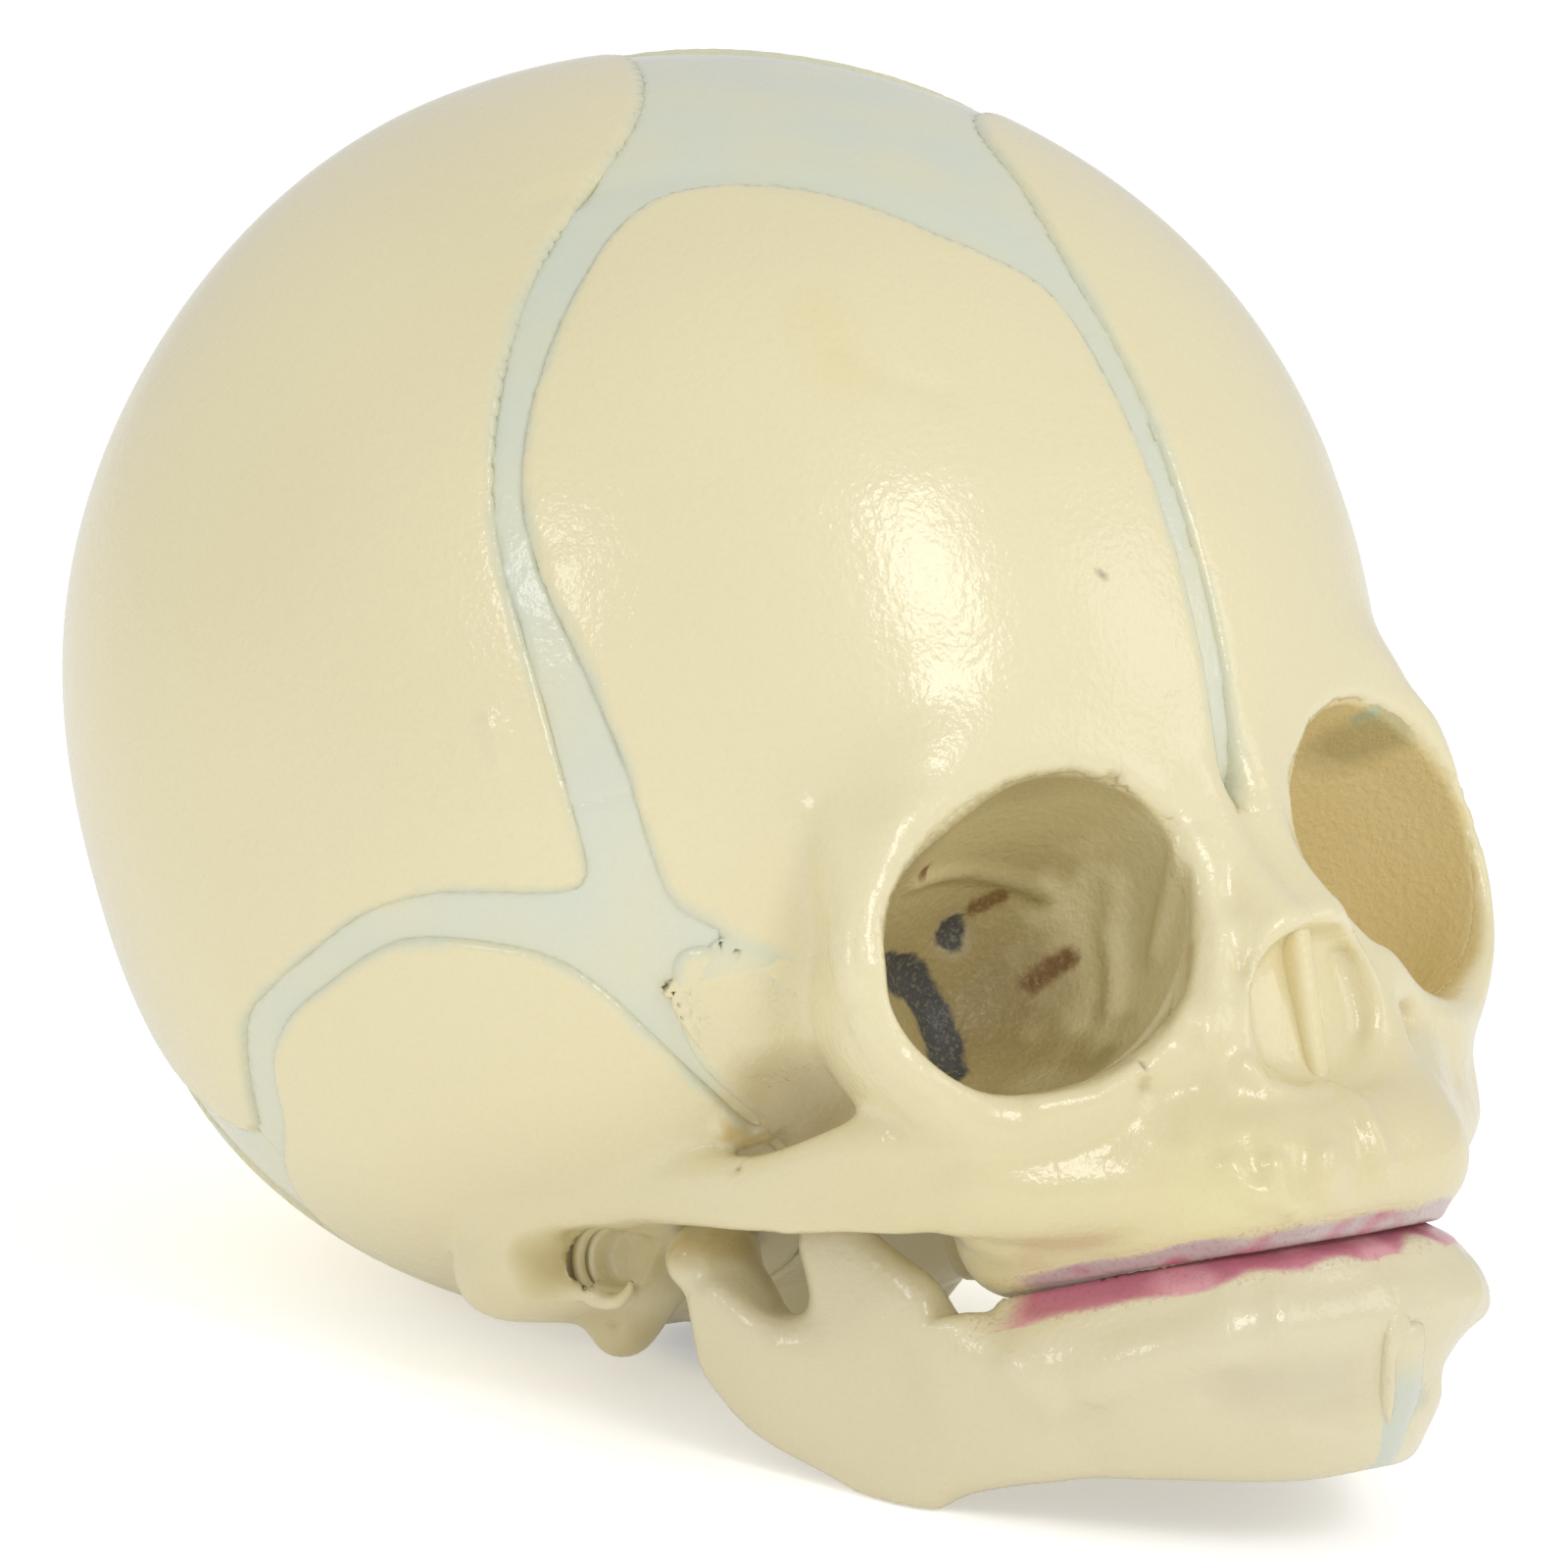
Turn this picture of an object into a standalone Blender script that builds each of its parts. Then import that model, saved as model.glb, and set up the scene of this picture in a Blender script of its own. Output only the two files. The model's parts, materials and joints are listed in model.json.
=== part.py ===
"""Teaching model of a newborn skull: cranium with fontanelles, face, and a hinged lower jaw.

The skull is modelled level, with the axis of the jaw joint on X through the origin, the face
towards -Y and the crown towards +Z. At the end it is tilted back onto its jaw angles and the back
of its base, which is how it rests on a table.
"""
import math

import bmesh
import bpy
from mathutils import Matrix, Vector


MM = 0.001

# Brain case, measured from its own centre
VAULT_HALF_BREADTH = 46.8 * MM
VAULT_FRONT = 55.4 * MM
VAULT_BACK = 43.0 * MM
VAULT_TOP = 57.3 * MM
VAULT_BOTTOM = 39.9 * MM
VAULT_CENTRE_BACK = 14.8 * MM
VAULT_CENTRE_RISE = 35.9 * MM
FRONTAL_BOSS = 1.5 * MM
PARIETAL_BOSS = 3.0 * MM
TEMPLE_HOLLOW = 0.8 * MM
OCCIPUT_BOSS = 6.5 * MM
VAULT_ROUNDNESS = 2.08
VAULT_TAPER_SHARE = -0.06
BONE_WALL = 2.6 * MM
MEMBRANE_RECESS = 0.4 * MM

# Face, measured from the jaw axis
FACE_HALF_BREADTH = 34.0 * MM
FACE_LENGTH = 46.5 * MM
FACE_HEIGHT = 50.0 * MM

# Eye sockets
ORBIT_HALF_WIDTH = 13.4 * MM
ORBIT_HALF_HEIGHT = 11.6 * MM
ORBIT_DEPTH = 19.0 * MM
ORBIT_WALL = 1.8 * MM
ORBIT_LIP = 2.4 * MM
OPTIC_PIT_RADIUS = 1.3 * MM
FISSURE_RADIUS = 0.8 * MM

# Nose
NASAL_HALF_WIDTH = 6.6 * MM
SEPTUM_THICKNESS = 1.4 * MM

# Ear
EAR_CANAL_RADIUS = 2.1 * MM
EAR_CANAL_LENGTH = 9.0 * MM
EAR_RING_RADIUS = 3.3 * MM
EAR_RING_THICKNESS = 1.5 * MM

# Jaw joint
CONDYLE_RADIUS = 2.9 * MM
CONDYLE_LENGTH = 8.4 * MM
CONDYLE_SIDE = 23.6 * MM
SOCKET_CLEARANCE = 0.4 * MM

# Gums and chin
GUM_WIDTH = 6.2 * MM
GUM_HEIGHT = 1.9 * MM
BITE_CLEARANCE = 0.5 * MM
SYMPHYSIS_WIDTH = 2.4 * MM
SYMPHYSIS_RISE = 9.0 * MM

# Base
FORAMEN_HALF_WIDTH = 8.0 * MM
FORAMEN_HALF_LENGTH = 9.2 * MM
FORAMEN_BACK = 17.6 * MM

# Gap between pieces that are bonded together
CLEARANCE = 0.3 * MM

# Depth of the flats on which the skull rests
REST_FLAT = 0.45 * MM
REST_TURNS = 12

# Points closer than this are one point
WELD = 0.002 * MM

# Reach of the cutters past what they cut
OVERRUN = 12.0 * MM
SLAB_REACH_SHARE = 4.0
WEDGE_NEAR_SHARE = 0.25
WEDGE_FAR_SHARE = 2.0
LINING_FRONT_SHARE = 3.0

# Fineness of the meshes
VAULT_DIVISIONS = 10
CAVITY_DIVISIONS = 8
ROD_SIDES = 16
BORE_SIDES = 24
CONDYLE_SIDES = 16
CONDYLE_RINGS = 10
EAR_RING_SIDES = 6
EAR_RING_SEGMENTS = 14
BLOB_SUBDIVISIONS = 2
VOXEL = 1.1 * MM
SMOOTH_STEPS = 4

LUMP_TRIANGLES = 900
BROW_TRIANGLES = 240
FACE_TRIANGLES = 1900
JAW_TRIANGLES = 2200
TRIANGLES = {
    "frontal_bone": 500,
    "parietal_bone": 560,
    "sphenoid_wing": 170,
    "temporal_bone": 900,
    "occipital_bone": 430,
    "skull_base": 1080,
    "anterior_fontanelle": 620,
    "posterior_fontanelle": 480,
    "lateral_membrane": 300,
    "maxilla": 1300,
    "zygomatic_bone": 700,
    "nasal_bone": 120,
    "mandible": 980,
    "mandibular_symphysis": 90,
    "orbit_lining": 600,
}

BONE_CREAM = (0.79, 0.70, 0.47, 1.0)
MEMBRANE_BLUE = (0.60, 0.70, 0.64, 1.0)
SOCKET_TAN = (0.42, 0.36, 0.22, 1.0)
GUM_PINK = (0.55, 0.22, 0.28, 1.0)
BONE_ROUGHNESS = 0.35
MEMBRANE_ROUGHNESS = 0.3
SOCKET_ROUGHNESS = 0.7
GUM_ROUGHNESS = 0.3

# Bumps of the vault: direction of the peak, and its spread
FRONTAL_BOSS_DIRECTION = (0.45, -0.75, 0.45)
PARIETAL_BOSS_DIRECTION = (0.75, 0.45, 0.45)
TEMPLE_DIRECTION = (0.85, -0.5, -0.1)
OCCIPUT_DIRECTION = (0.0, 0.97, -0.05)
FRONTAL_BOSS_SPREAD = 0.45
PARIETAL_BOSS_SPREAD = 0.5
TEMPLE_SPREAD = 0.4
OCCIPUT_SPREAD = 0.5

# Outlines on the vault, as seen from its centre, in degrees: turn from the face towards the right
# ear, and rise above the horizon
CORONAL_FRONT_EDGE = [(46.5, 39.5), (51, 33.5), (54, 27), (55, 21), (54, 14), (52, 6), (50.6, -2),
                      (49.7, -12)]
FONTANELLE_FRONT_EDGE_RIGHT = [(2.6, 30.5), (7.5, 34.7), (13, 39.5), (20, 44), (28, 46.5), (35, 46.8),
                               (41, 44.5)]
FONTANELLE_FRONT_EDGE_LEFT = [(1.8, 31), (3.6, 37), (6, 42), (9, 47), (15, 51), (24, 52.5), (33, 51),
                              (41, 46)]
METOPIC_EDGE = [(0.17, -15), (0.17, -11.5), (0.8, -9.5), (1.0, 10), (1.4, 24)]
FRONTAL_LOWER_EDGE = [(46, -15.2), (41.5, -18.8), (38.5, -21.4), (33, -25), (22, -27), (9, -25), (3, -19)]

SAGITTAL_EDGE = [(30, 87.6), (150, 87.6), (172, 80), (176, 70), (177.4, 58), (178, 48), (176, 40)]
LAMBDOID_FRONT_EDGE = [(169, 31), (161, 21), (151, 9), (141, -4), (131, -15), (121, -22.5), (114, -25)]
MASTOID_FRONT_EDGE = [(109, -22.5), (104, -18), (99.5, -14)]
SQUAMOSAL_UPPER_EDGE = [(94, -12), (87, -10), (79, -7.8), (71, -7.6), (64, -9), (56.5, -9.8)]
CORONAL_REAR_EDGE = [(55.9, -3), (56.6, 9), (57.6, 20), (56.6, 28), (54, 35.5), (50, 42.6), (44.6, 48)]
FONTANELLE_REAR_EDGE = [(38, 53.5), (31, 60), (25, 67.5), (17, 75), (14, 81)]

TEMPORAL_FRONT_EDGE = [(42.5, -52), (44, -42), (48.6, -34), (52.6, -27.5), (56, -21.5)]
TEMPORAL_UPPER_EDGE = [(60, -16.4), (66, -13.2), (76, -10.7), (86, -12.8), (94, -15.2), (100, -19),
                       (105, -24.5)]
TEMPORAL_REAR_EDGE = [(112, -28), (122, -33), (130, -40), (132.5, -48), (127, -58)]
TEMPORAL_LOWER_EDGE = [(108, -65), (84, -70), (58, -68), (45, -61)]

WING_UPPER_EDGE = [(50, -17.6), (46, -18), (42.2, -20.4), (39, -23), (33.5, -26.6)]
WING_FRONT_EDGE = [(28, -30), (25, -36), (24.5, -44), (26, -52)]
WING_REAR_EDGE = [(31, -57), (38, -53), (41.6, -46), (45, -37.5), (49.4, -30), (51, -24)]

OCCIPITAL_EDGE = [(180, 26), (170, 20), (160, 9), (150, -4), (142, -16), (136.5, -27), (136, -38),
                  (137.5, -50), (135, -60), (146, -68), (180, -72)]
BASE_EDGE = [(2, -17.5), (8, -19), (18, -27), (27, -40), (29, -50), (34, -56), (44, -58), (58, -63),
             (84, -65), (110, -61), (128, -59), (144, -69), (170, -71)]

# Regions that the membranes fill between the bones
FRONT_REGION_EDGE = [(1.6, -9.9), (2.6, -6.5), (24, -6.5), (46, -3), (66, -3), (78, 30), (84, 65),
                     (120, 82), (168, 82.6)]
REAR_REGION_EDGE = [(168, 82.1), (150, 78), (125, 45), (108, 5), (108, -14), (113.5, -17), (113.5, -34),
                    (122, -48), (126, -62), (134, -66), (170, -66)]
SIDE_REGION_EDGE = [(46, -3.4), (66, -3.4), (90, -4), (104, -8), (113, -16), (113, -34), (98, -34),
                    (76, -26), (60, -30), (52, -37), (44, -33), (41, -20), (43, -12)]

# Eye socket: its frame as shares of the face, and its section from the rim inwards
ORBIT_CENTRE_SHARE = (0.597, 0.791, 0.343)
ORBIT_SIDE_DIRECTION = (0.974, 0.227, 0.0)
ORBIT_UP_DIRECTION = (-0.10, -0.12, 0.98)
ORBIT_AXIS_DIRECTION = (-0.31, 0.94, -0.13)
ORBIT_MOUTH_SHARES = [(-0.6, 1.16), (-0.15, 1.04), (0.0, 1.0)]
ORBIT_CUP_SHARES = [(0.0, 1.0), (0.25, 0.98), (0.5, 0.88), (0.75, 0.68), (0.92, 0.42), (1.0, 0.14)]
ORBIT_SQUARENESS = 2.1
ORBIT_SIDES = 18

# Pits in the wall of the eye socket: across and up, as shares of its half width and half height
OPTIC_PIT_SHARES = [(-0.04, 0.34)]
FISSURE_SHARES = [(0.40, 0.20), (0.52, -0.15), (0.50, -0.45), (0.36, -0.68)]

# Forms of the face as chains of sections. A section has one or two balls, each with its place and its
# radii as shares of the half breadth, length and height of the face.
MIDFACE_CHAIN_SHARES = [
    # Body of the upper jaw
    [
        [((0.32, 0.80, -0.04), (0.18, 0.12, 0.12))],
        [((0.41, 0.71, 0.00), (0.21, 0.13, 0.12))],
        [((0.53, 0.58, -0.02), (0.16, 0.13, 0.11))],
    ],
    # Front of the upper jaw below the nose
    [
        [((0.0, 0.895, -0.02), (0.13, 0.073, 0.06))],
        [((0.15, 0.886, -0.02), (0.13, 0.073, 0.068))],
        [((0.253, 0.856, 0.048), (0.076, 0.065, 0.064))],
    ],
    # Side of the nose up to the brow
    [
        [((0.253, 0.856, 0.048), (0.076, 0.065, 0.064))],
        [((0.241, 0.86, 0.168), (0.065, 0.054, 0.052))],
        [((0.185, 0.837, 0.27), (0.059, 0.052, 0.052))],
        [((0.147, 0.815, 0.37), (0.059, 0.05, 0.052))],
        [((0.159, 0.802, 0.472), (0.071, 0.056, 0.056))],
    ],
    # Bridge of the nose
    [
        [((0.056, 0.927, 0.28), (0.068, 0.047, 0.036))],
        [((0.065, 0.856, 0.376), (0.068, 0.047, 0.048))],
        [((0.076, 0.817, 0.476), (0.082, 0.058, 0.056))],
    ],
    # Roof of the nasal opening
    [
        [((0.056, 0.927, 0.28), (0.068, 0.047, 0.036))],
        [((0.159, 0.86, 0.276), (0.053, 0.047, 0.044))],
    ],
    # Lower rim of the eye socket
    [
        [((0.241, 0.86, 0.168), (0.065, 0.054, 0.052))],
        [((0.306, 0.852, 0.152), (0.071, 0.056, 0.052))],
        [((0.441, 0.80, 0.10), (0.076, 0.06, 0.052))],
        [((0.618, 0.744, 0.07), (0.088, 0.065, 0.056))],
        [((0.776, 0.68, 0.092), (0.088, 0.065, 0.06))],
        [((0.90, 0.667, 0.18), (0.076, 0.06, 0.06))],
        [((0.959, 0.658, 0.28), (0.068, 0.058, 0.052))],
        [((0.953, 0.658, 0.37), (0.065, 0.056, 0.048))],
    ],
    # Cheek and arch
    [
        [((0.73, 0.632, 0.016), (0.13, 0.09, 0.076))],
        [((0.853, 0.551, 0.08), (0.065, 0.073, 0.052)), ((0.829, 0.551, -0.004), (0.071, 0.073, 0.048))],
        [((0.888, 0.462, 0.084), (0.05, 0.065, 0.048)), ((0.879, 0.462, 0.012), (0.05, 0.065, 0.044))],
        [((0.891, 0.333, 0.078), (0.047, 0.065, 0.042)), ((0.885, 0.333, 0.024), (0.047, 0.065, 0.038))],
    ],
    # Palate
    [
        [((0.0, 0.74, -0.05), (0.36, 0.17, 0.03))],
        [((0.0, 0.54, -0.04), (0.36, 0.11, 0.03))],
    ],
    # Rear end of the upper jaw
    [
        [((0.46, 0.473, 0.0), (0.12, 0.086, 0.10))],
        [((0.38, 0.58, 0.05), (0.15, 0.12, 0.09))],
    ],
]
BROW_CHAIN_SHARES = [
    # Rim of the eye socket from the nose to the cheek, running up into the forehead
    [
        [((0.076, 0.809, 0.48), (0.082, 0.065, 0.06)), ((0.10, 0.757, 0.66), (0.10, 0.108, 0.10))],
        [((0.188, 0.79, 0.492), (0.076, 0.056, 0.052)), ((0.206, 0.748, 0.68), (0.147, 0.108, 0.10))],
        [((0.312, 0.787, 0.548), (0.076, 0.056, 0.056)), ((0.309, 0.735, 0.72), (0.147, 0.108, 0.10))],
        [((0.54, 0.762, 0.596), (0.082, 0.056, 0.052)), ((0.485, 0.695, 0.77), (0.147, 0.108, 0.10))],
        [((0.753, 0.718, 0.572), (0.076, 0.056, 0.056)), ((0.66, 0.615, 0.74), (0.147, 0.108, 0.10))],
        [((0.888, 0.68, 0.48), (0.068, 0.056, 0.056)), ((0.806, 0.55, 0.61), (0.10, 0.073, 0.08))],
        [((0.947, 0.658, 0.372), (0.062, 0.054, 0.044)), ((0.865, 0.59, 0.388), (0.056, 0.073, 0.048))],
    ],
]
UPPER_ARCH_SHARES = [(0.0, 0.915), (0.165, 0.912), (0.305, 0.87), (0.405, 0.765), (0.47, 0.63),
                     (0.49, 0.50)]
LOWER_ARCH_SHARES = [(0.0, 0.882), (0.165, 0.882), (0.30, 0.845), (0.41, 0.755), (0.49, 0.62),
                     (0.54, 0.50)]
ALVEOLUS_RISE_SHARE = -0.066
ALVEOLUS_RADIUS_SHARES = (0.11, 0.088, 0.10)
BITE_RISE_SHARE = -0.19
BITE_SLOPE = 0.04

JAW_CHAIN_SHARES = [
    # Body of the jaw: its gum side, and its lower border further in
    [
        [((0.0, 0.882, -0.292), (0.094, 0.067, 0.074)), ((0.0, 0.865, -0.468), (0.082, 0.052, 0.056))],
        [((0.165, 0.886, -0.294), (0.10, 0.067, 0.074)), ((0.147, 0.826, -0.472), (0.076, 0.047, 0.052))],
        [((0.30, 0.852, -0.296), (0.097, 0.071, 0.074)), ((0.265, 0.735, -0.456), (0.062, 0.05, 0.044))],
        [((0.406, 0.77, -0.292), (0.094, 0.073, 0.072)), ((0.36, 0.64, -0.436), (0.056, 0.052, 0.04))],
        [((0.494, 0.64, -0.282), (0.088, 0.075, 0.072)), ((0.453, 0.542, -0.418), (0.056, 0.054, 0.04))],
        [((0.559, 0.512, -0.264), (0.079, 0.073, 0.074)), ((0.53, 0.44, -0.404), (0.056, 0.058, 0.042))],
        [((0.612, 0.40, -0.228), (0.071, 0.071, 0.08)), ((0.582, 0.323, -0.40), (0.056, 0.06, 0.044))],
    ],
    # Branch of the jaw up to the neck of its condyle
    [
        [((0.612, 0.40, -0.228), (0.071, 0.071, 0.08)), ((0.582, 0.323, -0.40), (0.056, 0.06, 0.044))],
        [((0.653, 0.344, -0.116), (0.047, 0.065, 0.056)), ((0.615, 0.271, -0.396), (0.056, 0.058, 0.046))],
        [((0.676, 0.245, -0.188), (0.044, 0.06, 0.056)), ((0.668, 0.168, -0.312), (0.056, 0.056, 0.052))],
        [((0.724, 0.086, -0.188), (0.056, 0.054, 0.048)), ((0.706, 0.095, -0.24), (0.056, 0.054, 0.05))],
        [((0.718, 0.022, -0.06), (0.094, 0.052, 0.048))],
    ],
    # Coronoid process
    [
        [((0.641, 0.396, -0.18), (0.053, 0.065, 0.06)), ((0.671, 0.275, -0.192), (0.044, 0.056, 0.052))],
        [((0.665, 0.353, -0.028), (0.042, 0.052, 0.044)), ((0.68, 0.275, -0.028), (0.042, 0.047, 0.044))],
    ],
]

TEMPORAL_CHAIN_SHARES = [
    # Arch and its root above the ear
    [
        [((0.894, 0.44, 0.082), (0.047, 0.065, 0.046)), ((0.885, 0.44, 0.016), (0.047, 0.065, 0.042))],
        [((0.888, 0.27, 0.086), (0.047, 0.065, 0.038)), ((0.882, 0.27, 0.04), (0.047, 0.065, 0.038))],
        [((0.871, 0.118, 0.108), (0.059, 0.073, 0.046)), ((0.859, 0.118, 0.076), (0.059, 0.073, 0.038))],
        [((0.85, -0.032, 0.12), (0.079, 0.073, 0.054))],
        [((0.86, -0.13, 0.124), (0.079, 0.073, 0.058))],
        [((0.90, -0.28, 0.13), (0.079, 0.09, 0.06))],
    ],
    # Roof of the jaw socket
    [
        [((0.62, 0.03, 0.10), (0.10, 0.10, 0.044))],
        [((0.78, 0.05, 0.11), (0.13, 0.10, 0.044))],
        [((0.80, -0.14, 0.12), (0.12, 0.08, 0.06))],
    ],
    # Body round the ear
    [
        [((0.76, -0.19, 0.06), (0.13, 0.10, 0.085)), ((0.85, -0.32, 0.06), (0.12, 0.13, 0.09))],
        [((0.62, -0.24, 0.02), (0.15, 0.12, 0.085))],
    ],
    # Knob below the ear
    [
        [((0.62, -0.25, 0.0), (0.14, 0.10, 0.07))],
        [((0.645, -0.27, -0.075), (0.075, 0.055, 0.04))],
    ],
]

BASE_CHAIN_SHARES = [
    # Basilar part
    [
        [((0.0, 0.26, 0.07), (0.26, 0.17, 0.08))],
        [((0.0, 0.04, -0.02), (0.21, 0.13, 0.065))],
        [((0.0, -0.13, -0.06), (0.20, 0.09, 0.05))],
    ],
    # Condyles beside the foramen
    [
        [((0.22, -0.26, -0.09), (0.075, 0.11, 0.05))],
        [((0.20, -0.20, -0.06), (0.09, 0.10, 0.05))],
    ],
    # Pterygoid processes
    [
        [((0.24, 0.27, 0.05), (0.07, 0.07, 0.08))],
        [((0.28, 0.27, -0.09), (0.045, 0.05, 0.035))],
    ],
]

EAR_CENTRE_SHARE = (0.86, -0.15, 0.026)
NASAL_FLOOR_SHARE = 0.03
NASAL_TOP_SHARE = 0.265
NASAL_FRONT_SHARE = 0.98
NASAL_BACK_SHARE = 0.783
NASAL_LOBE_SHARE = 0.56
NASAL_LOBE_RISE_SHARE = 0.36
NASAL_TIP_BREADTH_SHARE = 0.5
NASAL_TIP_RISE_SHARE = 0.24
SEPTUM_FRONT_SHARE = 0.93

CAVITY_TRIM_SHARE = 0.8
JAW_ROOM_BREADTH_SHARE = 0.82
JAW_ROOM_FRONT = 1.2 * CONDYLE_RADIUS
RAMUS_FRONT_SHARE = 0.42
CHIN_FOOT_SHARE = -0.53

# Section of a gum from its foot to its crown, as shares of its half width and its height
GUM_SECTION_SHARES = [(-0.72, 0.0), (0.72, 0.0), (1.0, 0.3), (1.0, 0.75), (0.8, 1.0), (-0.8, 1.0),
                      (-1.0, 0.75), (-1.0, 0.3)]

BROW_SEAM_SHARE = (0.9, 0.6, 0.375)
NASION_SEAM_SHARE = (0.0, 0.9, 0.46)
NASION_SEAM_HALF_BREADTH_SHARE = 0.6
ZYGOMA_SEAM_SHARE = (0.63, 0.70, 0.0)
ZYGOMA_SEAM_NORMAL = (0.86, 0.42, 0.12)
ARCH_SEAM_SHARE = (0.9, 0.385, 0.035)
ARCH_SEAM_NORMAL = (0.0, 0.94, -0.34)
NASAL_SEAM_SHARE = (0.125, 0.9, 0.36)
NASAL_SEAM_NORMAL = (0.97, 0.0, 0.16)
NASAL_FOOT_SHARE = (0.0, 0.9, 0.255)

LEFT = 1
RIGHT = -1
SIDES = {RIGHT: "right", LEFT: "left"}


def face_place(share, side=LEFT):
    """Point of the face from shares of its half breadth, length and height."""
    return Vector((side * share[0] * FACE_HALF_BREADTH, -share[1] * FACE_LENGTH, share[2] * FACE_HEIGHT))


def face_radii(share):
    return Vector((share[0] * FACE_HALF_BREADTH, share[1] * FACE_LENGTH, share[2] * FACE_HEIGHT))


def vault_centre():
    return Vector((0.0, VAULT_CENTRE_BACK, VAULT_CENTRE_RISE))


def bump(direction, peak, spread):
    """One smooth swelling of the vault, from 1 at its peak down to 0."""
    folded = Vector((abs(direction.x), direction.y, direction.z))
    away = 1.0 - folded.dot(Vector(peak).normalized())
    return math.exp(-2.0 * away / (spread * spread))


def vault_radius(direction):
    """Distance from the centre of the vault to its outer surface."""
    x = abs(direction.x) / (VAULT_HALF_BREADTH * (1.0 + VAULT_TAPER_SHARE * direction.y))
    y = abs(direction.y) / (VAULT_FRONT if direction.y < 0 else VAULT_BACK)
    z = abs(direction.z) / (VAULT_BOTTOM if direction.z < 0 else VAULT_TOP)
    power = VAULT_ROUNDNESS
    radius = (x ** power + y ** power + z ** power) ** (-1.0 / power)
    radius += FRONTAL_BOSS * bump(direction, FRONTAL_BOSS_DIRECTION, FRONTAL_BOSS_SPREAD)
    radius += PARIETAL_BOSS * bump(direction, PARIETAL_BOSS_DIRECTION, PARIETAL_BOSS_SPREAD)
    radius -= TEMPLE_HOLLOW * bump(direction, TEMPLE_DIRECTION, TEMPLE_SPREAD)
    radius += OCCIPUT_BOSS * bump(direction, OCCIPUT_DIRECTION, OCCIPUT_SPREAD)
    return radius


def heading(turn, rise, side=RIGHT):
    """Unit direction from the centre of the vault, from two angles in degrees."""
    turn = math.radians(turn)
    rise = math.radians(rise)
    level = math.cos(rise)
    return Vector((side * math.sin(turn) * level, -math.cos(turn) * level, math.sin(rise)))


def object_from(bm, name):
    """New object from a bmesh, with outward faces."""
    bmesh.ops.recalc_face_normals(bm, faces=bm.faces)
    mesh = bpy.data.meshes.new(name)
    bm.to_mesh(mesh)
    bm.free()
    obj = bpy.data.objects.new(name, mesh)
    bpy.context.scene.collection.objects.link(obj)
    return obj


def bmesh_of(obj):
    bm = bmesh.new()
    bm.from_mesh(obj.data)
    return bm


def replace_mesh(obj, bm):
    bm.to_mesh(obj.data)
    bm.free()


def drop(*objects):
    """Remove helper objects and their meshes."""
    for obj in objects:
        mesh = obj.data
        bpy.data.objects.remove(obj)
        bpy.data.meshes.remove(mesh)


def apply_modifiers(obj):
    graph = bpy.context.evaluated_depsgraph_get()
    mesh = bpy.data.meshes.new_from_object(obj.evaluated_get(graph))
    old = obj.data
    obj.modifiers.clear()
    obj.data = mesh
    bpy.data.meshes.remove(old)


def combine(obj, other, operation):
    """Boolean of two closed objects."""
    modifier = obj.modifiers.new(operation, 'BOOLEAN')
    modifier.operation = operation
    modifier.solver = 'MANIFOLD'
    modifier.object = other
    apply_modifiers(obj)


def cut(obj, *cutters):
    for cutter in cutters:
        combine(obj, cutter, 'DIFFERENCE')


def keep_inside(obj, region):
    combine(obj, region, 'INTERSECT')


def add(obj, other):
    combine(obj, other, 'UNION')


def copy_of(obj, name):
    twin = obj.copy()
    twin.data = obj.data.copy()
    twin.name = name
    bpy.context.scene.collection.objects.link(twin)
    return twin


def mirrored(obj, name):
    """Copy for the other side of the middle plane."""
    twin = copy_of(obj, name)
    twin.data.transform(Matrix.Diagonal((-1.0, 1.0, 1.0, 1.0)))
    twin.data.flip_normals()
    return twin


def islands(bm):
    """Groups of vertices that hang together."""
    left = set(bm.verts)
    groups = []
    while left:
        stack = [left.pop()]
        group = set(stack)
        while stack:
            for edge in stack.pop().link_edges:
                for vertex in edge.verts:
                    if vertex in left:
                        left.remove(vertex)
                        group.add(vertex)
                        stack.append(vertex)
        groups.append(group)
    return groups


def tidy(obj):
    """Weld what a cut leaves almost together and keep the main body of the piece."""
    bm = bmesh_of(obj)
    bmesh.ops.remove_doubles(bm, verts=bm.verts, dist=WELD)
    loose = [face for face in bm.faces if all(len(edge.link_faces) == 1 for edge in face.edges)]
    bmesh.ops.delete(bm, geom=loose, context='FACES')
    groups = islands(bm)
    if len(groups) > 1:
        main = max(groups, key=len)
        crumbs = [vertex for group in groups if group is not main for vertex in group]
        bmesh.ops.delete(bm, geom=crumbs, context='VERTS')
    replace_mesh(obj, bm)


# Vault

def sphere_of_squares(divisions):
    """Unit sphere made from a cube, with square faces that mirror in the middle plane."""
    bm = bmesh.new()
    bmesh.ops.create_cube(bm, size=1.0)
    bmesh.ops.subdivide_edges(bm, edges=bm.edges, cuts=divisions - 1, use_grid_fill=True)
    for vertex in bm.verts:
        spread = Vector(math.tan(part * math.pi / 2) for part in vertex.co)
        vertex.co = spread.normalized()
    return bm


def vault_solid(name, offset, divisions):
    """Closed skin of the vault, moved outwards by an offset."""
    bm = sphere_of_squares(divisions)
    for vertex in bm.verts:
        vertex.co = vault_centre() + vertex.co * (vault_radius(vertex.co) + offset)
    return object_from(bm, name)


def vault_shell(name, recess):
    """Wall of the vault between its outer face, sunk by a recess, and the brain cavity."""
    shell = vault_solid(name, -recess, VAULT_DIVISIONS)
    cavity = vault_solid("cavity", -BONE_WALL, CAVITY_DIVISIONS)
    cut(shell, cavity)
    drop(cavity)
    return shell


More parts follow.
